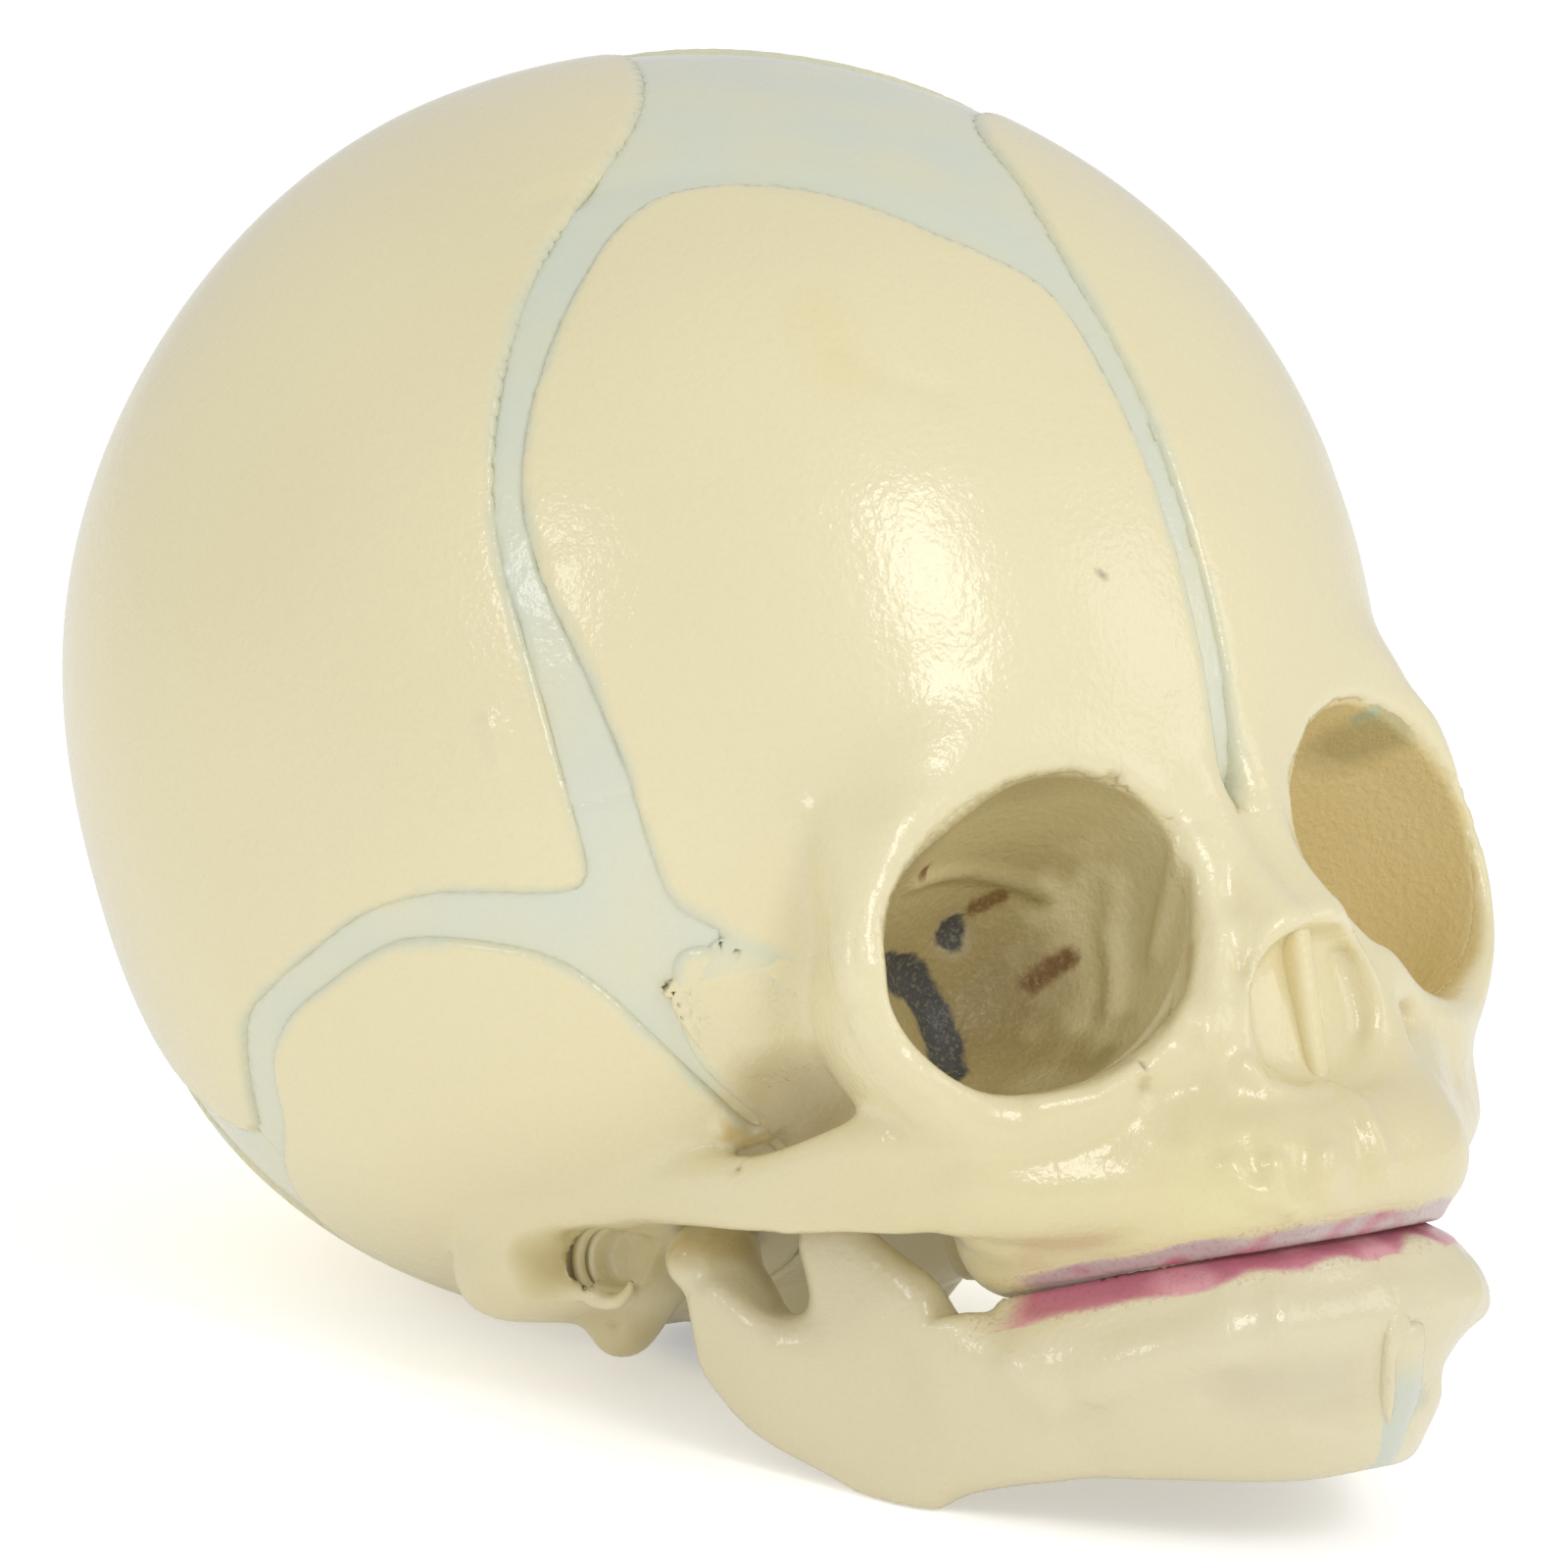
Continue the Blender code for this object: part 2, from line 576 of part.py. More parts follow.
def rounded(points):
    """Outline with a point added in the middle of each stretch, on a smooth curve."""
    count = len(points)
    result = []
    for i, point in enumerate(points):
        result.append(point)
        ahead = points[(i + 1) % count]
        before = points[i - 1]
        beyond = points[(i + 2) % count]
        result.append(((point + ahead) * 9.0 - before - beyond).normalized())
    return result


def wedge(name, outline, margin=0.0, smooth=True):
    """Solid of all that an outline on the vault frames, seen from the centre of the vault."""
    points = rounded(outline) if smooth else list(outline)
    hub = sum(points, Vector()).normalized()
    turning = sum((points[i - 1].cross(point).dot(hub) for i, point in enumerate(points)), 0.0)
    if turning < 0:
        points.reverse()
    if margin:
        points = widened(points, margin / VAULT_HALF_BREADTH)
    bm = bmesh.new()
    centre = vault_centre()
    near = VAULT_BOTTOM * WEDGE_NEAR_SHARE
    far = VAULT_TOP * WEDGE_FAR_SHARE
    inner = [bm.verts.new(centre + point * near) for point in points]
    outer = [bm.verts.new(centre + point * far) for point in points]
    inner_hub = bm.verts.new(centre + hub * near)
    outer_hub = bm.verts.new(centre + hub * far)
    for i in range(len(points)):
        bm.faces.new((inner[i - 1], inner[i], outer[i], outer[i - 1]))
        bm.faces.new((inner[i], inner[i - 1], inner_hub))
        bm.faces.new((outer[i - 1], outer[i], outer_hub))
    return object_from(bm, name)


def widened(points, angle):
    """Outline moved outwards along the vault by an angle."""
    result = []
    count = len(points)
    for i, point in enumerate(points):
        along = points[(i + 1) % count] - points[i - 1]
        outwards = along.cross(point).normalized()
        back = (point - points[i - 1]).normalized()
        ahead = (points[(i + 1) % count] - point).normalized()
        mitre = max(0.5, math.sqrt(max(0.0, (1.0 + back.dot(ahead)) / 2)))
        result.append((point + outwards * (angle / mitre)).normalized())
    return result


def outline_of(degrees, side=RIGHT):
    return [heading(turn, rise, side) for turn, rise in degrees]


def both_sides(degrees):
    """Closed outline that runs up one side of the middle plane and down the other."""
    right = outline_of(degrees, RIGHT)
    left = [point for point in outline_of(degrees, LEFT) if abs(point.x) > 1e-6]
    return right + list(reversed(left))


def frontal_outline(side):
    top = FONTANELLE_FRONT_EDGE_RIGHT if side == RIGHT else FONTANELLE_FRONT_EDGE_LEFT
    return outline_of(METOPIC_EDGE + top + CORONAL_FRONT_EDGE + FRONTAL_LOWER_EDGE, side)


def parietal_outline(side):
    return outline_of(SAGITTAL_EDGE + LAMBDOID_FRONT_EDGE + MASTOID_FRONT_EDGE + SQUAMOSAL_UPPER_EDGE
                      + CORONAL_REAR_EDGE + FONTANELLE_REAR_EDGE, side)


def temporal_outline(side):
    return outline_of(TEMPORAL_FRONT_EDGE + TEMPORAL_UPPER_EDGE + TEMPORAL_REAR_EDGE
                      + TEMPORAL_LOWER_EDGE, side)


def wing_outline(side):
    return outline_of(WING_UPPER_EDGE + WING_FRONT_EDGE + WING_REAR_EDGE, side)


# Lumps

def hull_round(balls):
    """Convex hull round a few ellipsoids, each given by its centre and its three radii."""
    hull = bmesh.new()
    for centre, size in balls:
        ball = bmesh.ops.create_icosphere(hull, subdivisions=BLOB_SUBDIVISIONS, radius=1.0)
        for vertex in ball["verts"]:
            vertex.co = centre + vertex.co * size
    bmesh.ops.delete(hull, geom=hull.edges, context='EDGES_FACES')
    result = bmesh.ops.convex_hull(hull, input=hull.verts)
    inside = [item for item in result["geom_interior"] if isinstance(item, bmesh.types.BMVert)]
    bmesh.ops.delete(hull, geom=inside, context='VERTS')
    return hull


def link(bm, sections, side):
    """Add the hull round neighbouring sections of a chain to a mesh."""
    hull = hull_round([(face_place(place, side), face_radii(radii)) for place, radii in sections])
    mesh = bpy.data.meshes.new("hull")
    hull.to_mesh(mesh)
    hull.free()
    bm.from_mesh(mesh)
    bpy.data.meshes.remove(mesh)


def thin(obj, triangles):
    """Thin the mesh of a piece down to a number of triangles."""
    count = sum(len(face.vertices) - 2 for face in obj.data.polygons)
    if count > triangles:
        modifier = obj.modifiers.new("Thin", 'DECIMATE')
        modifier.ratio = triangles / count
        apply_modifiers(obj)
        tidy(obj)


def mass(name, chains, sides, triangles):
    """One smooth body from chains of sections that run into each other."""
    bm = bmesh.new()
    for side in sides:
        for chain in chains:
            for near, far in zip(chain, chain[1:]):
                link(bm, near + far, side)
    obj = object_from(bm, name)
    remesh = obj.modifiers.new("Skin", 'REMESH')
    remesh.mode = 'VOXEL'
    remesh.voxel_size = VOXEL
    smooth = obj.modifiers.new("Smooth", 'SMOOTH')
    smooth.factor = 0.5
    smooth.iterations = SMOOTH_STEPS
    apply_modifiers(obj)
    thin(obj, triangles)
    tidy(obj)
    return obj


def alveolus_chain():
    """Rim of the upper jaw along its arch."""
    return [[((x, y, ALVEOLUS_RISE_SHARE), ALVEOLUS_RADIUS_SHARES)] for x, y in UPPER_ARCH_SHARES]


def slab(name, point, normal, depth):
    """Big block whose one face passes through a point, with the block on the side of the normal."""
    bm = bmesh.new()
    reach = FACE_LENGTH * SLAB_REACH_SHARE
    bmesh.ops.create_cube(bm, size=1.0)
    bmesh.ops.scale(bm, vec=(reach, reach, depth), verts=bm.verts)
    bmesh.ops.translate(bm, vec=(0, 0, depth / 2), verts=bm.verts)
    turn = Vector((0, 0, 1)).rotation_difference(Vector(normal).normalized()).to_matrix()
    bmesh.ops.rotate(bm, matrix=turn, verts=bm.verts)
    bmesh.ops.translate(bm, vec=point, verts=bm.verts)
    return object_from(bm, name)


def split(obj, point, normal, far_name):
    """Cut an object in two along a plane, a clearance apart. Returns the piece the normal points to."""
    normal = Vector(normal).normalized()
    half = normal * (CLEARANCE / 2)
    depth = FACE_LENGTH * SLAB_REACH_SHARE
    far = copy_of(obj, far_name)
    front = slab("front", point - half, normal, depth)
    back = slab("back", point + half, -normal, depth)
    cut(obj, front)
    cut(far, back)
    drop(front, back)
    return far


def box(name, low, high):
    bm = bmesh.new()
    bmesh.ops.create_cube(bm, size=1.0)
    size = Vector(high) - Vector(low)
    bmesh.ops.scale(bm, vec=size, verts=bm.verts)
    bmesh.ops.translate(bm, vec=(Vector(high) + Vector(low)) / 2, verts=bm.verts)
    return object_from(bm, name)


def lathe(name, rings):
    """Closed body through a list of rings with equal numbers of points, capped at both ends."""
    bm = bmesh.new()
    made = [[bm.verts.new(point) for point in ring] for ring in rings]
    for below, above in zip(made, made[1:]):
        for i in range(len(below)):
            bm.faces.new((below[i - 1], below[i], above[i], above[i - 1]))
    bm.faces.new(made[0])
    bm.faces.new(made[-1])
    return object_from(bm, name)


def rod(name, start, end, radius):
    """Round bar between two points."""
    start = Vector(start)
    end = Vector(end)
    frame = Vector((0, 0, 1)).rotation_difference(end - start).to_matrix()
    ring = [frame @ Vector((math.cos(a), math.sin(a), 0)) * radius
            for a in (2 * math.pi * i / ROD_SIDES for i in range(ROD_SIDES))]
    return lathe(name, [[start + p for p in ring], [end + p for p in ring]])


# Eye sockets

def orbit_ring(side, depth_share, width_share, extra):
    """Rounded square section of the eye socket at one depth."""
    flip = Vector((side, 1, 1))
    across = Vector(ORBIT_SIDE_DIRECTION).normalized() * flip
    upwards = Vector(ORBIT_UP_DIRECTION).normalized() * flip
    inwards = Vector(ORBIT_AXIS_DIRECTION).normalized() * flip
    centre = face_place(ORBIT_CENTRE_SHARE, side) + inwards * (ORBIT_DEPTH + extra) * depth_share
    ring = []
    for i in range(ORBIT_SIDES):
        angle = 2 * math.pi * i / ORBIT_SIDES
        c = math.cos(angle)
        s = math.sin(angle)
        reach = (abs(c) ** ORBIT_SQUARENESS + abs(s) ** ORBIT_SQUARENESS) ** (-1.0 / ORBIT_SQUARENESS)
        ring.append(centre + across * (c * reach * (ORBIT_HALF_WIDTH * width_share + extra))
                    + upwards * (s * reach * (ORBIT_HALF_HEIGHT * width_share + extra)))
    return ring


def orbit_form(name, side, extra):
    """Cup of the eye socket from its rim inwards, grown on all sides."""
    return lathe(name, [orbit_ring(side, depth, width, extra) for depth, width in ORBIT_CUP_SHARES])


def orbit_room(name, side):
    """Room in the bones: the open mouth of the socket, and behind its lip the seat of the lining."""
    lip = (ORBIT_LIP - CLEARANCE) / ORBIT_DEPTH
    rings = [orbit_ring(side, depth, width, 0.0) for depth, width in ORBIT_MOUTH_SHARES]
    rings.append(orbit_ring(side, lip, 1.0, 0.0))
    seat = ORBIT_WALL + CLEARANCE
    rings.append(orbit_ring(side, lip * ORBIT_DEPTH / (ORBIT_DEPTH + seat), 1.0, seat))
    rings += [orbit_ring(side, depth, width, seat) for depth, width in ORBIT_CUP_SHARES[1:]]
    return lathe(name, rings)


# Jaw joint and bite

def condyle_form(name, side, extra):
    """Spindle of the jaw joint about the hinge axis, grown by a clearance."""
    radius = CONDYLE_RADIUS + extra
    half = CONDYLE_LENGTH / 2 + extra
    bm = bmesh.new()
    bmesh.ops.create_uvsphere(bm, u_segments=CONDYLE_SIDES, v_segments=CONDYLE_RINGS, radius=1.0)
    bmesh.ops.rotate(bm, matrix=Matrix.Rotation(math.pi / 2, 3, 'Y'), verts=bm.verts)
    bmesh.ops.scale(bm, vec=(half, radius, radius), verts=bm.verts)
    bmesh.ops.translate(bm, vec=(side * CONDYLE_SIDE, 0, 0), verts=bm.verts)
    return object_from(bm, name)


def bite_height(y):
    """Height of the bite above the jaw axis, which rises a little towards the back."""
    return BITE_RISE_SHARE * FACE_HEIGHT + BITE_SLOPE * (y + FACE_LENGTH)


def bite_slab(name, offset, upwards):
    """Block above or below the bite, moved away from it by an offset."""
    normal = Vector((0, -BITE_SLOPE, 1)).normalized()
    point = Vector((0, -FACE_LENGTH, bite_height(-FACE_LENGTH) + offset))
    return slab(name, point, normal if upwards else -normal, FACE_LENGTH)


def gum(name, arch, low, high, extra=0.0):
    """Horseshoe ridge along a jaw, between two heights measured from the bite, grown all round."""
    right = [face_place((x, y, 0.0), RIGHT) for x, y in arch]
    left = [face_place((x, y, 0.0), LEFT) for x, y in arch[1:]]
    path = smooth_path(list(reversed(right)) + left)
    path[0] += (path[0] - path[1]).normalized() * extra
    path[-1] += (path[-1] - path[-2]).normalized() * extra
    growth = math.copysign(extra, high - low)
    low -= growth
    high += growth
    rings = []
    for i, point in enumerate(path):
        ahead = path[min(i + 1, len(path) - 1)]
        before = path[max(i - 1, 0)]
        across = (ahead - before).cross(Vector((0, 0, 1))).normalized()
        ring = []
        for side_share, height_share in GUM_SECTION_SHARES:
            spot = point + across * ((GUM_WIDTH / 2 + extra) * side_share)
            spot.z = bite_height(spot.y) + low + (high - low) * height_share
            ring.append(spot)
        rings.append(ring)
    return lathe(name, rings)


def smooth_path(points):
    """Path with a point added in the middle of each stretch, on a smooth curve."""
    result = [points[0]]
    for i in range(len(points) - 1):
        before = points[max(i - 1, 0)]
        beyond = points[min(i + 2, len(points) - 1)]
        result.append(((points[i] + points[i + 1]) * 9.0 - before - beyond) / 16.0)
        result.append(points[i + 1])
    return result


# Nose

def nasal_form(name, shrink):
    """Pear-shaped nasal cavity with two lobes below."""
    front = -NASAL_FRONT_SHARE * FACE_LENGTH
    back = VAULT_CENTRE_BACK - NASAL_BACK_SHARE * VAULT_FRONT
    middle = (front + back) / 2
    floor = NASAL_FLOOR_SHARE * FACE_HEIGHT
    top = NASAL_TOP_SHARE * FACE_HEIGHT
    height = top - floor
    lobe = NASAL_HALF_WIDTH * NASAL_LOBE_SHARE
    shift = NASAL_HALF_WIDTH - lobe
    length = (back - front) / 2 - shrink
    lobe_rise = height * NASAL_LOBE_RISE_SHARE
    tip_rise = height * NASAL_TIP_RISE_SHARE
    low = Vector((lobe - shrink, length, lobe_rise - shrink))
    high = Vector((NASAL_HALF_WIDTH * NASAL_TIP_BREADTH_SHARE - shrink, length, tip_rise - shrink))
    balls = [(Vector((side * shift, middle, floor + lobe_rise)), low) for side in SIDES]
    balls.append((Vector((0, middle, top - tip_rise)), high))
    return object_from(hull_round(balls), name)


# Pieces of the cranium

def orbit_cutters():
    return [orbit_room("orbit_room_" + SIDES[side], side) for side in SIDES]


def bone_patch(name, shell, outline, cutters):
    """Bone of the vault: the shell inside its outline, less the eye sockets and other holes."""
    bone = copy_of(shell, name)
    region = wedge("region", outline)
    keep_inside(bone, region)
    drop(region)
    cut(bone, *cutters)
    tidy(bone)
    thin(bone, TRIANGLES[name.removesuffix("_right")])
    return bone


def make_frontals(shell, orbits):
    """Frontal bones with the brow that frames the eye socket."""
    bones = []
    for side in SIDES:
        bone = copy_of(shell, "frontal_bone_" + SIDES[side])
        region = wedge("region", frontal_outline(side))
        keep_inside(bone, region)
        brow = mass("brow", BROW_CHAIN_SHARES, [side], BROW_TRIANGLES)
        trim_lumps(brow, frontal_outline(side))
        seam = slab("seam", cheek_seam_point(side), (0, 0, -1), FACE_LENGTH)
        nasion = nasion_room("nasion", -CLEARANCE / 2, -FACE_HEIGHT)
        middle = slab("middle", (side * CLEARANCE / 2, 0, 0), (-side, 0, 0), FACE_LENGTH)
        cut(brow, seam, nasion)
        add(bone, brow)
        cut(bone, *orbits)
        tidy(bone)
        thin(bone, TRIANGLES["frontal_bone"])
        cut(bone, middle)
        tidy(bone)
        drop(region, brow, seam, nasion, middle)
        bones.append(bone)
    return bones


def nasion_room(name, gap, reach):
    """Block above or below the seam between the frontal bones and the bones of the nose."""
    breadth = FACE_HALF_BREADTH * NASION_SEAM_HALF_BREADTH_SHARE
    level = NASION_SEAM_SHARE[2] * FACE_HEIGHT - gap
    heights = sorted((level, level + reach))
    return box(name, (-breadth, -FACE_LENGTH * 2, heights[0]), (breadth, 0, heights[1]))


def cheek_seam_point(side):
    """Seam between the frontal bone and the cheek bone at the outer side of the eye socket."""
    return face_place(BROW_SEAM_SHARE, side) + Vector((0, 0, CLEARANCE / 2))


def trim_lumps(lumps, outline):
    """Keep lumps out of the neighbours' walls and out of the brain cavity."""
    own = wedge("own", outline, -CLEARANCE)
    others = vault_solid("others", CLEARANCE, VAULT_DIVISIONS)
    cut(others, own)
    cavity = vault_solid("cavity", -BONE_WALL * CAVITY_TRIM_SHARE, CAVITY_DIVISIONS)
    cut(lumps, others, cavity)
    drop(own, others, cavity)


def make_pair(name, shell, outline, cutters):
    """Bone of the right side and its mirror image."""
    right = bone_patch(name + "_right", shell, outline, cutters)
    return [right, mirrored(right, name + "_left")]


def foramen_form():
    """Bore of the foramen magnum."""
    bm = bmesh.new()
    bmesh.ops.create_cone(bm, segments=BORE_SIDES, radius1=1.0, radius2=1.0, depth=1.0, cap_ends=True)
    bmesh.ops.scale(bm, vec=(FORAMEN_HALF_WIDTH, FORAMEN_HALF_LENGTH, OVERRUN * 2), verts=bm.verts)
    bmesh.ops.translate(bm, vec=(0, FORAMEN_BACK, VAULT_CENTRE_RISE - VAULT_BOTTOM), verts=bm.verts)
    return object_from(bm, "foramen")


def make_temporals(shell):
    """Temporal bones: squama with the jaw socket, ear, mastoid and petrous parts, and the arch root."""
    side = RIGHT
    outline = temporal_outline(side)
    bone = copy_of(shell, "temporal_bone_right")
    region = wedge("region", outline)
    keep_inside(bone, region)
    lumps = mass("lumps", TEMPORAL_CHAIN_SHARES, [side], LUMP_TRIANGLES)
    trim_lumps(lumps, outline)
    add(bone, lumps)
    socket = condyle_form("socket", side, SOCKET_CLEARANCE)
    ear = face_place(EAR_CENTRE_SHARE, side)
    canal = rod("canal", ear + Vector((side * OVERRUN, 0, 0)),
                ear - Vector((side * EAR_CANAL_LENGTH, 0, 0)), EAR_CANAL_RADIUS)
    groove = ring_form("groove", side, CLEARANCE)
    seam_point = face_place(ARCH_SEAM_SHARE, side) + Vector(ARCH_SEAM_NORMAL).normalized() * (CLEARANCE / 2)
    seam = slab("seam", seam_point, -Vector(ARCH_SEAM_NORMAL), FACE_LENGTH)
    jaw_room = box("jaw_room", (-FACE_HALF_BREADTH * JAW_ROOM_BREADTH_SHARE, -FACE_LENGTH, -FACE_HEIGHT),
                   (0, -JAW_ROOM_FRONT, BONE_WALL))
    cut(bone, socket, canal, groove, seam, jaw_room)
    drop(region, lumps, socket, canal, groove, seam, jaw_room)
    tidy(bone)
    thin(bone, TRIANGLES["temporal_bone"])
    return [bone, mirrored(bone, "temporal_bone_left")]


def ring_form(name, side, extra):
    """Ring round the ear opening, grown by a clearance."""
    centre = face_place(EAR_CENTRE_SHARE, side)
    bm = bmesh.new()
    rings = []
    for i in range(EAR_RING_SEGMENTS):
        turn = 2 * math.pi * i / EAR_RING_SEGMENTS
        spoke = Vector((0, math.cos(turn), math.sin(turn)))
        ring = []
        for j in range(EAR_RING_SIDES):
            angle = 2 * math.pi * j / EAR_RING_SIDES
            tube = EAR_RING_THICKNESS / 2 + extra
            ring.append(bm.verts.new(centre + spoke * (EAR_RING_RADIUS + tube * math.cos(angle))
                                     + Vector((tube * math.sin(angle), 0, 0))))
        rings.append(ring)
    for i in range(EAR_RING_SEGMENTS):
        for j in range(EAR_RING_SIDES):
            bm.faces.new((rings[i - 1][j - 1], rings[i - 1][j], rings[i][j], rings[i][j - 1]))
    return object_from(bm, name)


def make_base(shell, neighbours, orbits, foramen):
    """Base of the skull: floor with the foramen magnum, basilar part, condyles and pterygoids."""
    base = copy_of(shell, "skull_base")
    region = wedge("region", both_sides(BASE_EDGE))
    keep_inside(base, region)
    drop(region)
    lumps = mass("lumps", BASE_CHAIN_SHARES, list(SIDES), LUMP_TRIANGLES)
    add(base, lumps)
    drop(lumps)
    cut(base, *neighbours, *orbits, foramen)
    tidy(base)
    thin(base, TRIANGLES["skull_base"])
    return base


def make_membrane(name, shell, region_outline, bones):
    """Membrane that fills the gaps between the bones inside a region."""
    membrane = copy_of(shell, name)
    region = wedge("region", region_outline, smooth=False)
    keep_inside(membrane, region)
    drop(region)
    cut(membrane, *bones)
    tidy(membrane)
    thin(membrane, TRIANGLES[name.removesuffix("_right")])
    return membrane


def cup_point(side, across_share, up_share):
    """Point on the wall of the eye socket, straight in from a place in its mouth."""
    flip = Vector((side, 1, 1))
    power = ORBIT_SQUARENESS
    spread = (abs(across_share) ** power + abs(up_share) ** power) ** (1.0 / power)
    for (near, wide), (far, narrow) in zip(ORBIT_CUP_SHARES, ORBIT_CUP_SHARES[1:]):
        if spread >= narrow or far == 1.0:
            depth = near + (far - near) * min(1.0, max(0.0, (wide - spread) / (wide - narrow)))
            break
    return (face_place(ORBIT_CENTRE_SHARE, side)
            + Vector(ORBIT_AXIS_DIRECTION).normalized() * flip * (ORBIT_DEPTH * depth)
            + Vector(ORBIT_SIDE_DIRECTION).normalized() * flip * (ORBIT_HALF_WIDTH * across_share)
            + Vector(ORBIT_UP_DIRECTION).normalized() * flip * (ORBIT_HALF_HEIGHT * up_share))


def make_linings():
    """Closed eye sockets, with the optic canal and the fissure as shallow pits."""
    linings = []
    for side in SIDES:
        lining = orbit_form("orbit_lining_" + SIDES[side], side, ORBIT_WALL)
        hollow = orbit_form("hollow", side, 0.0)
        cut(lining, hollow)
        drop(hollow)
        for shares, radius in ((OPTIC_PIT_SHARES, OPTIC_PIT_RADIUS), (FISSURE_SHARES, FISSURE_RADIUS)):
            balls = [(cup_point(side, *share), Vector((radius, radius, radius))) for share in shares]
            for i in range(max(1, len(balls) - 1)):
                pit = object_from(hull_round(balls[i:i + 2]), "pit")
                cut(lining, pit)
                drop(pit)
        flip = Vector((side, 1, 1))
        inwards = Vector(ORBIT_AXIS_DIRECTION).normalized() * flip
        facing = Vector(ORBIT_SIDE_DIRECTION).cross(Vector(ORBIT_UP_DIRECTION)) * flip
        centre = face_place(ORBIT_CENTRE_SHARE, side)
        front = slab("front", centre + inwards * ORBIT_LIP, facing, OVERRUN * LINING_FRONT_SHARE)
        cut(lining, front)
        drop(front)
        tidy(lining)
        thin(lining, TRIANGLES["orbit_lining"])
        linings.append(lining)
    return linings


# Pieces of the face

def make_midface(orbits):
    """Maxillae, zygomatic bones and nasal bones, carved from one form along their seams."""
    chains = MIDFACE_CHAIN_SHARES + [alveolus_chain()]
    face = mass("maxilla_right", chains, list(SIDES), FACE_TRIANGLES)
    vault = vault_solid("vault", CLEARANCE, VAULT_DIVISIONS)
    nose = nasal_form("nose", 0.0)
    bite = bite_slab("bite", BITE_CLEARANCE / 2 + GUM_HEIGHT + CLEARANCE, False)
    arch_point = face_place(ARCH_SEAM_SHARE)
    arch_normal = Vector(ARCH_SEAM_NORMAL).normalized()
    behind = slab("behind", arch_point - arch_normal * (CLEARANCE / 2), arch_normal, FACE_LENGTH)
    cut(face, vault, nose, bite, behind, *orbits)
    drop(vault, nose, bite, behind)
    top = slab("top", cheek_seam_point(RIGHT) - Vector((0, 0, CLEARANCE)), (0, 0, 1), FACE_LENGTH)
    inner = nasion_room("inner", FACE_HEIGHT, FACE_HEIGHT * SLAB_REACH_SHARE)
    cut(top, inner)
    nasion = nasion_room("nasion", CLEARANCE / 2, FACE_HEIGHT)
    cut(face, top, nasion)
    drop(top, inner, nasion)
    left = split(face, Vector(), (1, 0, 0), "maxilla_left")
    drop(left)
    side = RIGHT
    flip = Vector((side, 1, 1))
    cheek = split(face, face_place(ZYGOMA_SEAM_SHARE, side), Vector(ZYGOMA_SEAM_NORMAL) * flip,
                  "zygomatic_bone_right")
    bridge = copy_of(face, "nasal_bone_right")
    seam = Vector(NASAL_SEAM_NORMAL).normalized() * flip
    point = face_place(NASAL_SEAM_SHARE, side)
    foot = face_place(NASAL_FOOT_SHARE, side)
    half = CLEARANCE / 2
    far_side = slab("far_side", point - seam * half, seam, FACE_LENGTH)
    below = slab("below", foot + Vector((0, 0, half)), (0, 0, -1), FACE_LENGTH)
    cut(bridge, far_side, below)
    drop(far_side, below)
    near_side = slab("near_side", point + seam * half, -seam, FACE_LENGTH)
    above = slab("above", foot - Vector((0, 0, half)), (0, 0, 1), FACE_LENGTH)
    keep_inside(near_side, above)
    cut(face, near_side)
    drop(near_side, above)
    pieces = []
    for piece, name in ((face, "maxilla"), (cheek, "zygomatic_bone"), (bridge, "nasal_bone")):
        tidy(piece)
        thin(piece, TRIANGLES[name])
        pieces += [piece, mirrored(piece, name + "_left")]
    return pieces


def make_septum():
    """Thin wall that parts the nasal cavity."""
    septum = nasal_form("nasal_septum", CLEARANCE)
    half = SEPTUM_THICKNESS / 2
    plate = box("plate", (-half, -FACE_LENGTH, -FACE_HEIGHT), (half, 0, FACE_HEIGHT))
    keep_inside(septum, plate)
    front = slab("front", Vector((0, -FACE_LENGTH * SEPTUM_FRONT_SHARE, 0)), (0, -1, 0), FACE_LENGTH)
    vault = vault_solid("vault", CLEARANCE, VAULT_DIVISIONS)
    cut(septum, front, vault)
    drop(plate, front, vault)
    tidy(septum)
    return septum


# Pieces of the lower jaw

def make_jaw():
    """Halves of the lower jaw and the cartilage patch at the chin."""
    jaw = mass("mandible_right", JAW_CHAIN_SHARES, list(SIDES), JAW_TRIANGLES)
    bite = bite_slab("bite", -(BITE_CLEARANCE / 2 + GUM_HEIGHT + CLEARANCE), True)
    ramus_room = box("ramus_room", (-FACE_HALF_BREADTH, -FACE_LENGTH * RAMUS_FRONT_SHARE, -FACE_HEIGHT),
                     (FACE_HALF_BREADTH, FACE_LENGTH, FACE_HEIGHT))
    cut(bite, ramus_room)
    seat = lower_gum_form("seat", CLEARANCE)
    cut(jaw, bite, seat)
    drop(bite, ramus_room, seat)
    for side in SIDES:
        condyle = condyle_form("condyle", side, 0.0)
        add(jaw, condyle)
        drop(condyle)
    low = Vector((-SYMPHYSIS_WIDTH / 2, -FACE_LENGTH - OVERRUN, -FACE_HEIGHT))
    high = Vector((SYMPHYSIS_WIDTH / 2, 0, CHIN_FOOT_SHARE * FACE_HEIGHT + SYMPHYSIS_RISE))
    patch = copy_of(jaw, "mandibular_symphysis")
    inner = box("inner", low, high)
    keep_inside(patch, inner)
    margin = Vector((CLEARANCE, 0, 0))
    outer = box("outer", low - margin, high + margin + Vector((0, 0, CLEARANCE)))
    left = split(jaw, Vector(), (1, 0, 0), "mandible_left")
    drop(left)
    cut(jaw, outer)
    drop(inner, outer)
    for piece in (patch, jaw):
        tidy(piece)
        thin(piece, TRIANGLES[piece.name.removesuffix("_right")])
    return [jaw, mirrored(jaw, "mandible_left"), patch]


